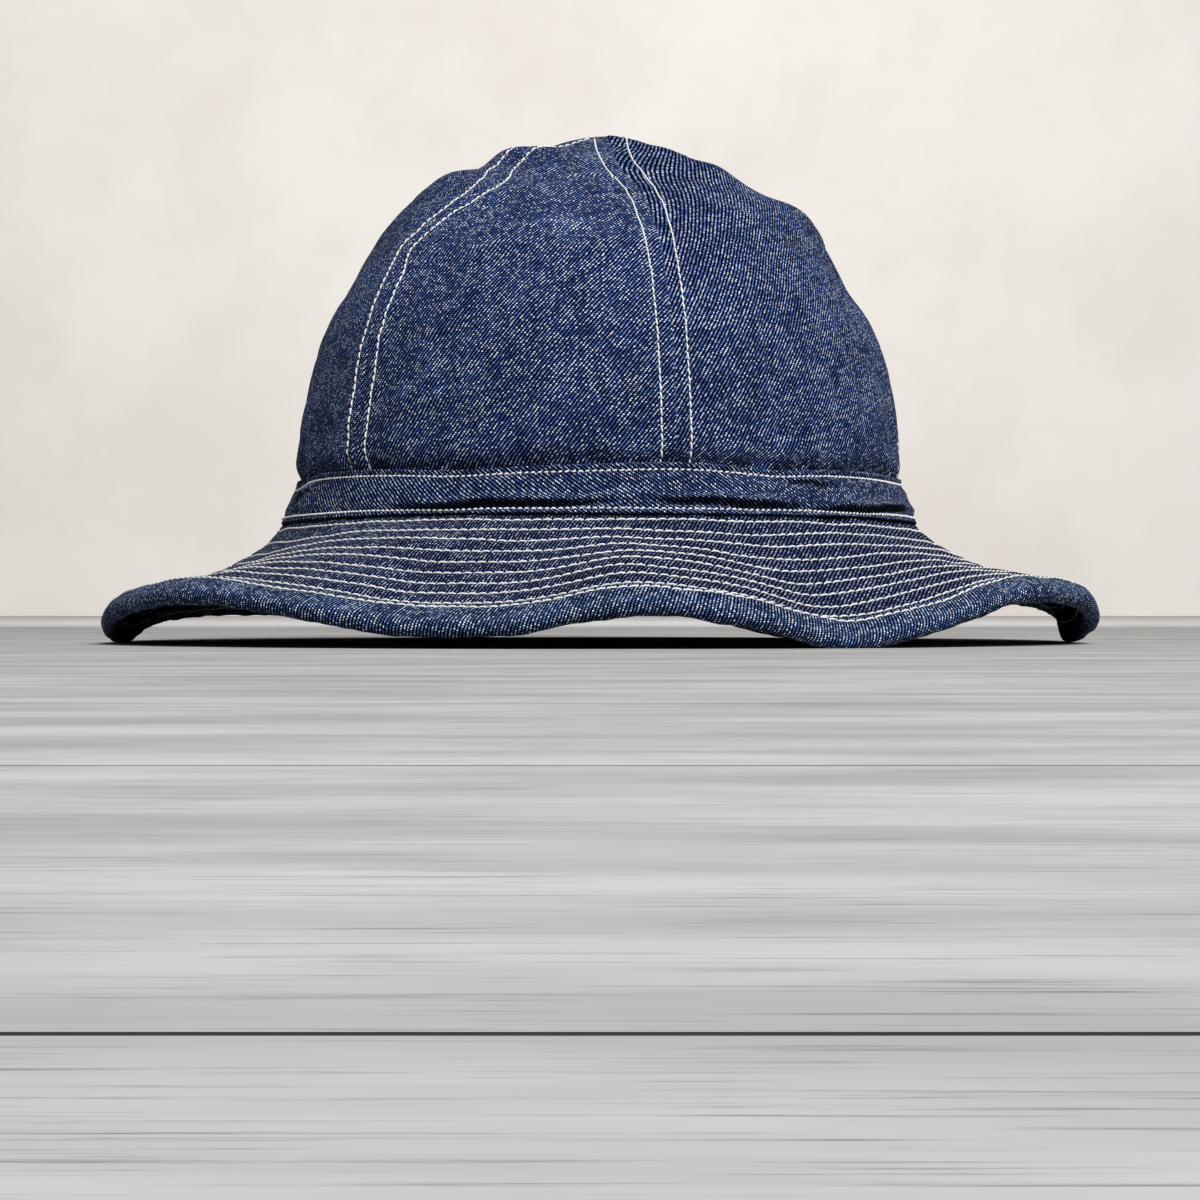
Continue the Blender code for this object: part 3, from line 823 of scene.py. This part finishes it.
def binding_points(azimuths):
    """Rings of the binding's outer skin, from its upper folded edge round the rim to the lower one."""
    paths = BrimPaths(azimuths)
    height = SEAM_GAP + BINDING_CLOTH
    edge = binding_edge(azimuths)[:, None] + BRIM_TUCK
    radius = BRIM_THICKNESS / 2 + height
    centre = BRIM_TUCK + BRIM_WIDTH - radius
    walks = edge + (centre - edge) * BINDING_STATIONS
    fold = height / 2
    fold_angles = np.radians((180.0, 150.0, 120.0))
    point, along, normal = paths.frames(walks)
    first, rise, ahead = point[:, :1], normal[:, :1], along[:, :1] * fold
    curl = [first + rise * (fold + fold * math.sin(a)) + ahead * math.cos(a) for a in fold_angles]
    below = BRIM_THICKNESS + fold
    lower_curl = [
        first - rise * (below + fold * math.sin(a)) + ahead * math.cos(a) for a in reversed(fold_angles)
    ]
    start, toward, up = paths.frames(np.full((len(azimuths), 1), centre))
    hub = start - up * BRIM_THICKNESS / 2
    roll = [
        hub + radius * (toward * math.cos(a) + up * math.sin(a))
        for a in np.linspace(math.pi / 2, -math.pi / 2, ROLL_STEPS)
    ]
    top = point + normal * height
    bottom = (point - normal * (BRIM_THICKNESS + height))[:, ::-1]
    return np.concatenate(curl + [top] + roll + [bottom] + lower_curl, axis=1)


def ring_normals(rings):
    """Outward normals of closed rings, whose rows run round the hat."""
    round_step = np.roll(rings, -1, axis=0) - np.roll(rings, 1, axis=0)
    across_step = np.gradient(rings, axis=1)
    return unit(np.cross(across_step, round_step))


def binding_surface(azimuths):
    """The binding with its sunk row, puffed face and fine puckers."""
    rings = binding_points(azimuths)
    normals, walked = ring_normals(rings), walked_across(rings)
    inset = inset_from(walked)
    row = bell(inset - BINDING_ROW, 0.0007)
    angle = np.radians(azimuths)[:, None] * 0.14
    slanted = np.stack([angle + 0.35 * walked, walked * 0.22], axis=-1)
    pucker = ripples(slanted, 0.0026, 51) * ease(inset, 0.0012, 0.0028)
    relief = BINDING_PUFF * (0.4 - 1.1 * row) + BINDING_PUCKER * pucker
    relief = (relief + BINDING_WAVE * ripples(rings, 0.010, 52)) * ease(inset, 0.0004, 0.0016)
    placed = rings + normals * relief[..., None]
    placed[..., 2] = np.maximum(placed[..., 2], 0.0)
    return placed, normals, walked


def add_binding(materials):
    azimuths = ring_azimuths(RING_STATIONS)
    points, _, walked = binding_surface(azimuths)
    inset = inset_from(walked)
    around = np.radians(doubled(azimuths)) * (FLAT_RADIUS + BRIM_WIDTH)
    walks = closed(walked)
    weave = turned_weave(around[:, None], -walks, BINDING_TWILL)
    middle = walked.max(axis=1, keepdims=True) / 2
    wear_and_shade = 0.30 * bell(walked - middle + 0.0034, 0.0014) + 0.25 * bell(inset - 0.0008, 0.0005)
    # Painted shade on the lower half of the binding, which faces down
    wear_and_shade = wear_and_shade - 0.5 * ease(walked - middle, -0.0020, 0.0010)
    piece = Piece()
    piece.add(points, weave, wear_and_shade, loop=True)
    piece.finish("binding_cloth", materials, "binding_denim", ["brim_binding"])


def band_top(azimuths):
    """Place of the band's upper edge on the crown's way up."""
    dip = np.zeros(azimuths.shape)
    for wave_azimuth, wide, depth in BAND_WAVES:
        dip = dip + depth * bell(turn_between(azimuths, wave_azimuth), wide)
    return SEAM_ALONG + (BAND_ABOVE_SEAM - dip) / CROWN_WAY


def band_surface(azimuths):
    """The band: top fold, outer face down to the brim, and bottom fold, with distances down it."""
    top = band_top(azimuths)[:, None]
    down = np.linspace(0.0, 1.0, BAND_COLUMNS)
    along = top + (BAND_END_ALONG * SEAM_ALONG - top) * down
    azimuth = azimuths[:, None]
    face = crown_point(azimuth, along)
    normal = crown_normal(azimuth, along)
    face = face + normal * (SEAM_GAP + BAND_CLOTH)
    paths = BrimPaths(azimuths)
    foot, foot_along, foot_normal = paths.frames(np.full((len(azimuths), 1), BRIM_TUCK))
    blend = ease(down, 0.70, 1.35)[None, :, None]
    toe = foot + foot_normal * BAND_TOE + foot_along * 0.0002
    face = face * (1 - blend) + (toe + (face - face[:, -1:])) * blend
    face = np.concatenate([face, toe], axis=1)
    walked, normals = walked_across(face), ring_normals(face)
    face = face + normals * band_relief(azimuth, walked, face)[0][..., None]
    radius = (SEAM_GAP + BAND_CLOTH) / 2
    rise = unit(face[:, :1] - face[:, 1:2])
    top_fold = [
        face[:, :1] - normals[:, :1] * radius * (1 - math.cos(a)) + rise * radius * math.sin(a)
        for a in np.radians(BAND_TOP_FOLD)
    ]
    fall = unit(face[:, -1:] - face[:, -2:-1])
    bottom_fold = [
        face[:, -1:] - normals[:, -1:] * 0.0005 * (1 - math.cos(a)) + fall * 0.0006 * math.sin(a)
        for a in np.radians(BAND_BOTTOM_FOLD)
    ]
    rings = np.concatenate(top_fold + [face] + bottom_fold, axis=1)
    return rings, ring_normals(rings), walked


def band_relief(azimuth, walked, point):
    """Relief of the band's face, and the painted shade of its tucks, from 0 to 1."""
    height, inset = walked[:, -1:], inset_from(walked)
    relief = BAND_PUFF * ease(inset, 0.0014, 0.0040)
    relief = relief - BAND_SINK * bell(inset - BAND_EDGE_ROW, 0.0006)
    relief = relief + BAND_SINK * ripples(point, 0.011, 61) * ease(inset, 0.0008, 0.0030)
    tuck_shade = np.zeros(relief.shape)
    for tuck_azimuth, up, length, tilt, width, depth in BAND_TUCKS:
        radius = np.hypot(point[..., 0], point[..., 1])
        right = radius * np.radians(turn_between(azimuth, tuck_azimuth))
        above = height - walked - up * height
        angle = math.radians(tilt)
        across = above * math.cos(angle) - right * math.sin(angle)
        across = across - 0.35 * width * np.sin(right / length * 11.0 + tuck_azimuth)
        fade = np.exp(-((2 * right / length) ** 4))
        lip = ease(across, -0.3 * width, 0.6 * width) * bell(np.maximum(across, 0.0), 2.6 * width)
        relief = relief + depth * fade * (1.5 * lip - bell(across + 0.9 * width, 0.9 * width))
        # Painted shade in the groove under each tuck's lip
        shadow = bell(across + 0.5 * width, width) * fade * depth / TUCK_DEPTH
        tuck_shade = np.maximum(tuck_shade, np.minimum(shadow, 1.0))
    return relief, tuck_shade


def add_band(materials):
    azimuths = ring_azimuths(RING_STATIONS)
    rings, _, face_walked = band_surface(azimuths)
    walked = walked_across(rings)
    inset = inset_from(walked)
    wear_and_shade = 0.5 * bell(inset - 0.0011, 0.0004)
    face = slice(BAND_FOLD_COLUMNS, BAND_FOLD_COLUMNS + face_walked.shape[1])
    tuck_shade = band_relief(azimuths[:, None], face_walked, rings[:, face])[1]
    # Painted shade in the tucks darkens the band's face
    wear_and_shade[:, face] = wear_and_shade[:, face] * (1 - tuck_shade) - tuck_shade
    # Painted shade on the bottom fold under the band
    wear_and_shade[:, face.stop:] = -0.9
    around = np.radians(doubled(azimuths)) * CROWN_LENGTH * 0.47
    walks = closed(walked)
    weave = turned_weave(around[:, None], -walks, BAND_TWILL)
    piece = Piece()
    piece.add(rings, weave, wear_and_shade, loop=True)
    piece.finish("band_cloth", materials, "band_denim", ["hat_band"])


def along_path(path, values, places):
    """Values given at the path's points, read at distances along it."""
    walked = walked_along(path)
    return np.stack([np.interp(places, walked, column) for column in values.T], axis=-1)


def stitch_tubes(path, normals, pitch, seed, sides, rings, fill):
    """Arched threads along a path, each dipping into the cloth at both ends."""
    length = np.linalg.norm(np.diff(path, axis=0), axis=1).sum()
    number = max(int(round(length / pitch)), 1)
    chance = np.random.default_rng(seed)
    pitch = length / number
    begins = (np.arange(number) + 0.05 + chance.uniform(-0.04, 0.04, number)) * pitch
    lengths = pitch * (fill + chance.uniform(-0.04, 0.04, number))
    shares = 0.5 - 0.5 * np.cos(np.linspace(0.0, math.pi, rings))
    places = begins[:, None] + lengths[:, None] * shares[None, :]
    centre = along_path(path, path, places.ravel()).reshape(number, rings, 3)
    up = unit(along_path(path, normals, places.ravel()).reshape(number, rings, 3))
    ahead = unit(np.gradient(centre, axis=1))
    side = unit(np.cross(up, ahead))
    arch = np.maximum(np.sin(math.pi * shares), 0.0) ** 0.4
    lift = THREAD_RADIUS * (-0.8 + 1.7 * arch)[None, :] * chance.uniform(0.85, 1.15, (number, 1))
    slant = THREAD_RADIUS * (0.9 * (shares - 0.5))[None, :] * chance.uniform(0.3, 1.4, (number, 1))
    centre = centre + up * lift[..., None] + side * slant[..., None]
    swell = 0.74 + 0.26 * np.sin(math.pi * shares)
    thickness = THREAD_RADIUS * swell[None, :] * chance.uniform(0.88, 1.1, (number, 1))
    angles = 2 * math.pi * np.arange(sides) / sides
    ring = side[:, :, None, :] * np.cos(angles)[:, None] + up[:, :, None, :] * np.sin(angles)[:, None]
    return centre[:, :, None, :] + ring * thickness[:, :, None, None], places - places[:, :1]


class Threads:
    """Stitches of one piece, gathered row by row."""

    def __init__(self, sides, rings):
        self.sides, self.rings = sides, rings
        self.tubes, self.places = [], []

    def add(self, path, normals, pitch, seed, fill):
        tubes, places = stitch_tubes(path, normals, pitch, seed, self.sides, self.rings, fill)
        self.tubes.append(tubes)
        self.places.append(places)

    def finish(self, name, material, slot):
        tubes, places = np.concatenate(self.tubes), np.concatenate(self.places)
        number, rings, sides = tubes.shape[:3]
        ids = np.arange(number * rings * sides).reshape(number, rings, sides)
        ids = np.concatenate([ids, ids[:, :, :1]], axis=2)
        turn = np.broadcast_to(np.arange(sides + 1) / sides, ids.shape)
        weave = np.stack([turn, np.broadcast_to(places[:, :, None], ids.shape)], axis=-1)
        piece = Piece()
        piece.points, piece.wear_and_shade = [tubes.reshape(-1, 3)], [np.zeros(number * rings * sides)]
        piece.strip(ids, weave)
        piece.finish(name, [material], slot)


def seam_path(number, side):
    """A topstitch row beside a gore's first (side 0) or last (side 1) seam, up to the peak."""
    along = np.linspace(SEAM_ALONG + 0.004, CLOSING_ALONG, 400)
    width = np.interp(along, WIDTH_STATIONS, GORE_WIDTHS[number])
    share = np.minimum(SEAM_ROW_DISTANCE / width, 0.46)
    share = 1 - share if side else share
    points, normals, _, _ = gore_surface(number, share, along)
    kept = share > 0.56 if side else share < 0.44
    return points[kept], normals[kept]


def add_seam_threads(material):
    outside, inside = Threads(6, 6), Threads(5, 5)
    for number in range(GORES):
        for side in (0, 1):
            path, normals = seam_path(number, side)
            outside.add(path, normals, SEAM_STITCH, 400 + 2 * number + side, 0.92)
            lining = path - normals * (CLOTH + ALLOWANCE_CLOTH)
            inside.add(lining, -normals, SEAM_STITCH, 420 + 2 * number + side, 0.84)
    outside.finish("crown_seam_threads", material, "crown_denim")
    inside.finish("crown_seam_threads_inside", material, "crown_denim")


def ring_line(rings, normals, walks, distance):
    """The closed line at a distance along each ring of points, and its normals."""
    row = np.arange(len(rings))
    column = np.argmin(np.abs(walks - distance[:, None]), axis=1)
    column = np.clip(column, 1, rings.shape[1] - 2)
    low = np.where(walks[row, column] > distance, column - 1, column)
    share = (distance - walks[row, low]) / (walks[row, low + 1] - walks[row, low])
    share = np.clip(share, 0.0, 1.0)[:, None]
    return [closed(v[row, low] * (1 - share) + v[row, low + 1] * share) for v in (rings, normals)]


def add_band_threads(material):
    rings, normals, walked = band_surface(ring_azimuths(FINE_STATIONS // 2))
    number, columns = walked.shape
    before_face = np.full((number, BAND_FOLD_COLUMNS), -1.0)
    after_face = np.full((number, rings.shape[1] - BAND_FOLD_COLUMNS - columns), 1.0)
    walks = np.concatenate([before_face, walked, after_face], axis=1)
    threads = Threads(6, 6)
    for distance, seed in ((np.full(number, BAND_EDGE_ROW), 501), (walked[:, -1] - BAND_EDGE_ROW, 502)):
        threads.add(*ring_line(rings, normals, walks, distance), BAND_STITCH, seed, 0.68)
    threads.finish("band_threads", material, "band_denim")


def add_brim_threads(material):
    azimuths = ring_azimuths(FINE_STATIONS)
    paths = BrimPaths(azimuths)
    for side, name, sides, rings in ((1, "brim_threads", 6, 6), (-1, "brim_threads_below", 5, 5)):
        threads = Threads(sides, rings)
        for row in range(BRIM_ROWS):
            distance = row_distance(row, azimuths)[:, None]
            points, normals = brim_face(paths, distance, side, 41 if side > 0 else 43)
            path, lines = closed(points[:, 0]), closed(normals[:, 0])
            threads.add(path, lines, BRIM_STITCH, 600 + row + 20 * side, 0.96)
        threads.finish(name, material, "brim_denim")


def add_binding_threads(material):
    points, normals, walked = binding_surface(ring_azimuths(FINE_STATIONS // 2))
    threads = Threads(6, 6)
    total = walked[:, -1]
    for distance, seed in ((np.full(len(total), BINDING_ROW), 701), (total - BINDING_ROW, 702)):
        threads.add(*ring_line(points, normals, walked, distance), BRIM_STITCH, seed, 0.96)
    threads.finish("binding_threads", material, "binding_denim")


def paint(red, green, blue):
    """Linear colour of one given in screen values from 0 to 255."""
    screen = np.array((red, green, blue)) / 255.0
    linear = np.where(screen <= 0.04045, screen / 12.92, ((screen + 0.055) / 1.055) ** 2.4)
    return (*[float(value) for value in linear], 1.0)


class Graph:
    """Short calls that add and link the shader nodes of one material."""

    def __init__(self, name):
        self.material = bpy.data.materials.new(name)
        self.material.use_nodes = True
        self.nodes = self.material.node_tree.nodes
        self.shader = self.nodes["Principled BSDF"]

    def link(self, source, socket):
        """Puts a value or another node's output on a socket."""
        if isinstance(source, bpy.types.NodeSocket):
            self.material.node_tree.links.new(source, socket)
        else:
            socket.default_value = source

    def add(self, kind, **settings):
        node = self.nodes.new(kind)
        for key, value in settings.items():
            setattr(node, key, value)
        return node

    def math(self, operation, first, second=None, third=None):
        node = self.add("ShaderNodeMath", operation=operation)
        for socket, value in zip(node.inputs, (first, second, third)):
            if value is not None:
                self.link(value, socket)
        return node.outputs[0]

    def times(self, first, *others):
        """Product of values and outputs."""
        for other in others:
            first = self.math("MULTIPLY", first, other)
        return first

    def remap(self, value, low, high, to_low=0.0, to_high=1.0):
        node = self.add("ShaderNodeMapRange", interpolation_type="SMOOTHSTEP")
        for socket, given in zip(node.inputs, (value, low, high, to_low, to_high)):
            self.link(given, socket)
        return node.outputs[0]

    def mix(self, share, first, second):
        node = self.add("ShaderNodeMix", data_type="RGBA")
        self.link(share, node.inputs["Factor"])
        first_colour, second_colour, mixed_colour = node.inputs[6], node.inputs[7], node.outputs[2]
        self.link(first, first_colour)
        self.link(second, second_colour)
        return mixed_colour

    def noise(self, vector, scale, detail, roughness=0.5):
        node = self.add("ShaderNodeTexNoise", noise_dimensions="3D")
        self.link(vector, node.inputs["Vector"])
        node.inputs["Scale"].default_value = scale
        node.inputs["Detail"].default_value = detail
        node.inputs["Roughness"].default_value = roughness
        return node.outputs["Fac"]

    def join(self, x, y):
        node = self.add("ShaderNodeCombineXYZ")
        for socket, value in zip(node.inputs, (x, y)):
            self.link(value, socket)
        return node.outputs[0]

    def bump(self, height, strength, distance):
        node = self.add("ShaderNodeBump")
        for name, value in (("Height", height), ("Strength", strength), ("Distance", distance)):
            self.link(value, node.inputs[name])
        self.link(node.outputs[0], self.shader.inputs["Normal"])

    def chance(self, vector):
        node = self.add("ShaderNodeTexWhiteNoise", noise_dimensions="3D")
        self.link(vector, node.inputs["Vector"])
        return node.outputs["Value"]


def yarn_cells(g, weave):
    """The weave's yarn coordinates, a little uneven, with the warp and weft yarn that each lies on."""
    split = g.add("ShaderNodeSeparateXYZ")
    g.link(weave, split.inputs[0])
    wobble = g.times(g.math("SUBTRACT", g.noise(weave, 380.0, 2.0), 0.5), YARN_WOBBLE)
    across = g.math("DIVIDE", g.math("ADD", split.outputs[0], wobble), WARP_PITCH)
    along = g.math("DIVIDE", g.math("SUBTRACT", split.outputs[1], wobble), WEFT_PITCH)
    return across, along, g.math("FLOOR", across), g.math("FLOOR", along)


def weft_dots(g, across, along, column, row, reverse):
    """Where the weft shows: a round dot in each third cell of a row, the next row's one further on."""
    line = g.math("FRACT", g.math("ADD", g.math("DIVIDE", g.math("SUBTRACT", column, row), 3.0), 0.05))
    crossing = g.math("LESS_THAN", line, 0.2)
    if reverse:
        crossing = g.math("SUBTRACT", 1.0, crossing)
    in_warp = g.math("SUBTRACT", g.math("FRACT", across), 0.5)
    in_weft = g.math("SUBTRACT", g.math("FRACT", along), 0.5)
    squares = g.math("ADD", g.times(in_warp, in_warp), g.times(in_weft, in_weft))
    return g.times(crossing, g.remap(g.math("SQRT", squares), 0.66, 0.30))


def slubs(g, across, along, column, row):
    """Uneven thickness of the yarns, one output for the weft and one for the warp."""
    weft = g.noise(g.join(g.times(across, 0.030), g.times(row, 0.83)), 1.0, 2.0)
    warp = g.noise(g.join(g.times(column, 0.83), g.times(along, 0.026)), 1.0, 2.0)
    return g.remap(weft, 0.34, 0.68, 0.45, 1.30), g.remap(warp, 0.32, 0.66, 0.62, 1.22)


def denim(name, furrow, ridge_tone, weft, dots, fade, reverse):
    """Indigo twill: slanting blue ridges between dark furrows with painted shade, and uneven pale weft
    dots.
    """
    g = Graph(name)
    weave = g.add("ShaderNodeUVMap", uv_map="Weave").outputs[0]
    place = g.add("ShaderNodeTexCoord").outputs["Object"]
    wear_and_shade = g.add("ShaderNodeAttribute", attribute_name="wear_and_shade").outputs["Fac"]
    across, along, column, row = yarn_cells(g, weave)
    dot = weft_dots(g, across, along, column, row, reverse)
    slant = g.math("DIVIDE", g.math("SUBTRACT", across, along), 3.0)
    stripe = g.math("MULTIPLY_ADD", g.math("COSINE", g.times(slant, 2 * math.pi)), 0.5, 0.5)
    weft_slub, warp_slub = slubs(g, across, along, column, row)
    luck = g.chance(g.join(column, row))
    fuzz = g.noise(weave, 4200.0, 1.0)
    cloud = g.remap(g.noise(place, 60.0, 3.0, 0.6), 0.30, 0.70, 0.84, 1.14)
    streak = g.noise(g.join(g.times(across, 0.11), g.times(along, 0.012)), 1.0, 2.0)
    streak = g.remap(streak, 0.32, 0.68, 0.84, 1.14)
    # Painted shade: where wear_and_shade is below zero the cloth darkens, down to a tenth at -1
    shade = g.times(cloud, streak, g.remap(wear_and_shade, -1.0, 0.0, 0.10, 1.0))
    fibres = g.remap(fuzz, 0.25, 0.75, 0.60, 1.40)
    tone = g.times(g.math("POWER", stripe, 2.4), warp_slub, shade, fibres)
    # The furrow colour is painted shade between the yarns, over dark indigo
    ground = g.mix(g.remap(tone, 0.0, 1.2), paint(*furrow), paint(*ridge_tone))
    patchy = g.remap(g.noise(weave, 1300.0, 3.0, 0.7), 0.40, 0.62, 0.0, fade)
    rubbed = g.times(g.math("MAXIMUM", wear_and_shade, 0.0), patchy)
    blotch = g.remap(g.noise(weave, 210.0, 3.0, 0.62), 0.32, 0.68, 0.70, 1.30)
    strength = g.math("MULTIPLY_ADD", g.math("POWER", luck, 1.8), 1.10, 0.24)
    strength = g.times(strength, weft_slub, blotch, shade, g.math("ADD", rubbed, dots))
    yarn = g.mix(g.remap(luck, 0.45, 0.90), paint(*weft), paint(228, 238, 255))
    colour = g.mix(g.math("MINIMUM", g.times(dot, strength), 1.0), ground, yarn)
    colour = g.mix(g.times(rubbed, 0.35), colour, paint(140, 162, 206))
    g.link(colour, g.shader.inputs["Base Color"])
    height = g.math("ADD", stripe, g.math("MULTIPLY_ADD", dot, 0.5, g.times(fuzz, 0.5)))
    g.bump(height, 0.6, 0.00016)
    g.link(g.remap(fuzz, 0.3, 0.7, 0.86, 0.98), g.shader.inputs["Roughness"])
    g.shader.inputs["Specular IOR Level"].default_value = 0.04
    return g.material


def cotton_thread(name):
    """Warm white twisted thread."""
    g = Graph(name)
    weave = g.add("ShaderNodeUVMap", uv_map="Weave").outputs[0]
    split = g.add("ShaderNodeSeparateXYZ")
    g.link(weave, split.inputs[0])
    twist = g.math("ADD", g.math("DIVIDE", split.outputs[1], THREAD_TWIST), split.outputs[0])
    wave = g.math("ABSOLUTE", g.math("SINE", g.times(twist, 2 * math.pi)))
    place = g.add("ShaderNodeTexCoord").outputs["Object"]
    soil = g.noise(place, 900.0, 2.0)
    # Painted shade between the twists: the thread is darker in its grooves
    colour = g.mix(g.remap(wave, 0.0, 0.6), paint(238, 237, 234), paint(255, 254, 250))
    colour = g.mix(g.remap(soil, 0.35, 0.75, 0.0, 0.30), colour, paint(226, 228, 233))
    g.link(colour, g.shader.inputs["Base Color"])
    g.bump(wave, 0.5, 0.00008)
    g.link(g.remap(soil, 0.3, 0.7, 0.55, 0.7), g.shader.inputs["Roughness"])
    g.shader.inputs["Sheen Weight"].default_value = 0.2
    g.shader.inputs["Specular IOR Level"].default_value = 0.3
    return g.material


def matt(g, colour):
    """Gives a studio material its colour and no shine."""
    g.link(colour, g.shader.inputs["Base Color"])
    g.shader.inputs["Roughness"].default_value = 1.0
    g.shader.inputs["Specular IOR Level"].default_value = 0.0
    return g.material


def mottled_paint(name):
    """Pale wall paint, very slightly mottled."""
    g = Graph(name)
    mottle = g.noise(g.add("ShaderNodeTexCoord").outputs["Object"], 6.0, 4.0, 0.6)
    return matt(g, g.mix(g.remap(mottle, 0.35, 0.7), paint(229, 225, 220), paint(222, 217, 211)))


def add_panel(name, corners, material):
    mesh = bpy.data.meshes.new(name)
    mesh.from_pydata(corners, [], [(0, 1, 2, 3)])
    mesh.materials.append(material)
    add_object(name, mesh)


def add_light(name, place, aim, size, power, colour):
    lamp = bpy.data.lights.new(name, "AREA")
    lamp.shape = "DISK"
    lamp.size = size
    lamp.energy = power
    lamp.color = colour
    made = add_object(name, lamp)
    made.location = place
    away = np.array(place) - np.array(aim)
    flat = math.hypot(away[0], away[1])
    made.rotation_euler = (math.atan2(flat, away[2]), 0.0, math.atan2(away[0], -away[1]))


def weathered_boards(name):
    """Grey boards laid across the view, with fine worn grain and a dark joint between two boards."""
    g = Graph(name)
    split = g.add("ShaderNodeSeparateXYZ")
    g.link(g.add("ShaderNodeTexCoord").outputs["Object"], split.inputs[0])
    x, y = split.outputs[0], split.outputs[1]
    broad = g.noise(g.join(g.times(x, 14.0), g.times(y, 40.0)), 1.0, 4.0, 0.6)
    fine = g.noise(g.join(g.times(x, 60.0), g.times(y, 1500.0)), 1.0, 5.0, 0.7)
    colour = g.mix(g.remap(broad, 0.30, 0.70), paint(170, 168, 166), paint(200, 198, 196))
    colour = g.mix(g.remap(fine, 0.52, 0.72, 0.0, 0.7), colour, paint(96, 93, 92))
    board = g.math("FRACT", g.math("DIVIDE", g.math("ADD", y, BOARD_WIDTH * 0.3), BOARD_WIDTH))
    joint = g.math("LESS_THAN", board, BOARD_JOINT / BOARD_WIDTH)
    return matt(g, g.mix(joint, colour, paint(58, 56, 55)))


def add_studio():
    side, back = STUDIO_REACH, BACKDROP_PLACE
    floor = [(-side, -side, 0.0), (side, -side, 0.0), (side, side, 0.0), (-side, side, 0.0)]
    add_panel("floor", floor, weathered_boards("floor boards"))
    wall = [(-side, back, -0.1), (side, back, -0.1), (side, back, side), (-side, back, side)]
    add_panel("backdrop", wall, mottled_paint("backdrop paint"))
    world = bpy.data.worlds.new("studio light")
    world.use_nodes = True
    background = world.node_tree.nodes["Background"]
    background.inputs[0].default_value = (0.95, 0.97, 1.0, 1.0)
    background.inputs[1].default_value = 0.10
    bpy.context.scene.world = world
    bpy.context.scene.view_settings.view_transform = "Standard"
    for light in LIGHTS:
        add_light(*light)


def add_camera():
    lens = bpy.data.cameras.new("photo camera")
    lens.sensor_width = 36.0
    lens.lens = CAMERA_LENS
    lens.shift_x, lens.shift_y = CAMERA_SHIFT
    lens.clip_start = 0.01
    made = add_object("photo camera", lens)
    made.location = CAMERA_PLACE
    made.rotation_euler = (math.radians(90.0), 0.0, 0.0)
    bpy.context.scene.camera = made


def main():
    cloth = {row[0]: denim(*row) for row in DENIMS}
    thread = cotton_thread("white cotton thread")
    for number in range(GORES):
        add_gore(number, [cloth["crown denim"], cloth["crown denim reverse"]])
    add_band([cloth["band denim"]])
    add_brim([cloth["brim denim"]])
    add_binding([cloth["binding denim"]])
    add_seam_threads(thread)
    add_band_threads(thread)
    add_brim_threads(thread)
    add_binding_threads(thread)
    add_studio()
    add_camera()


main()
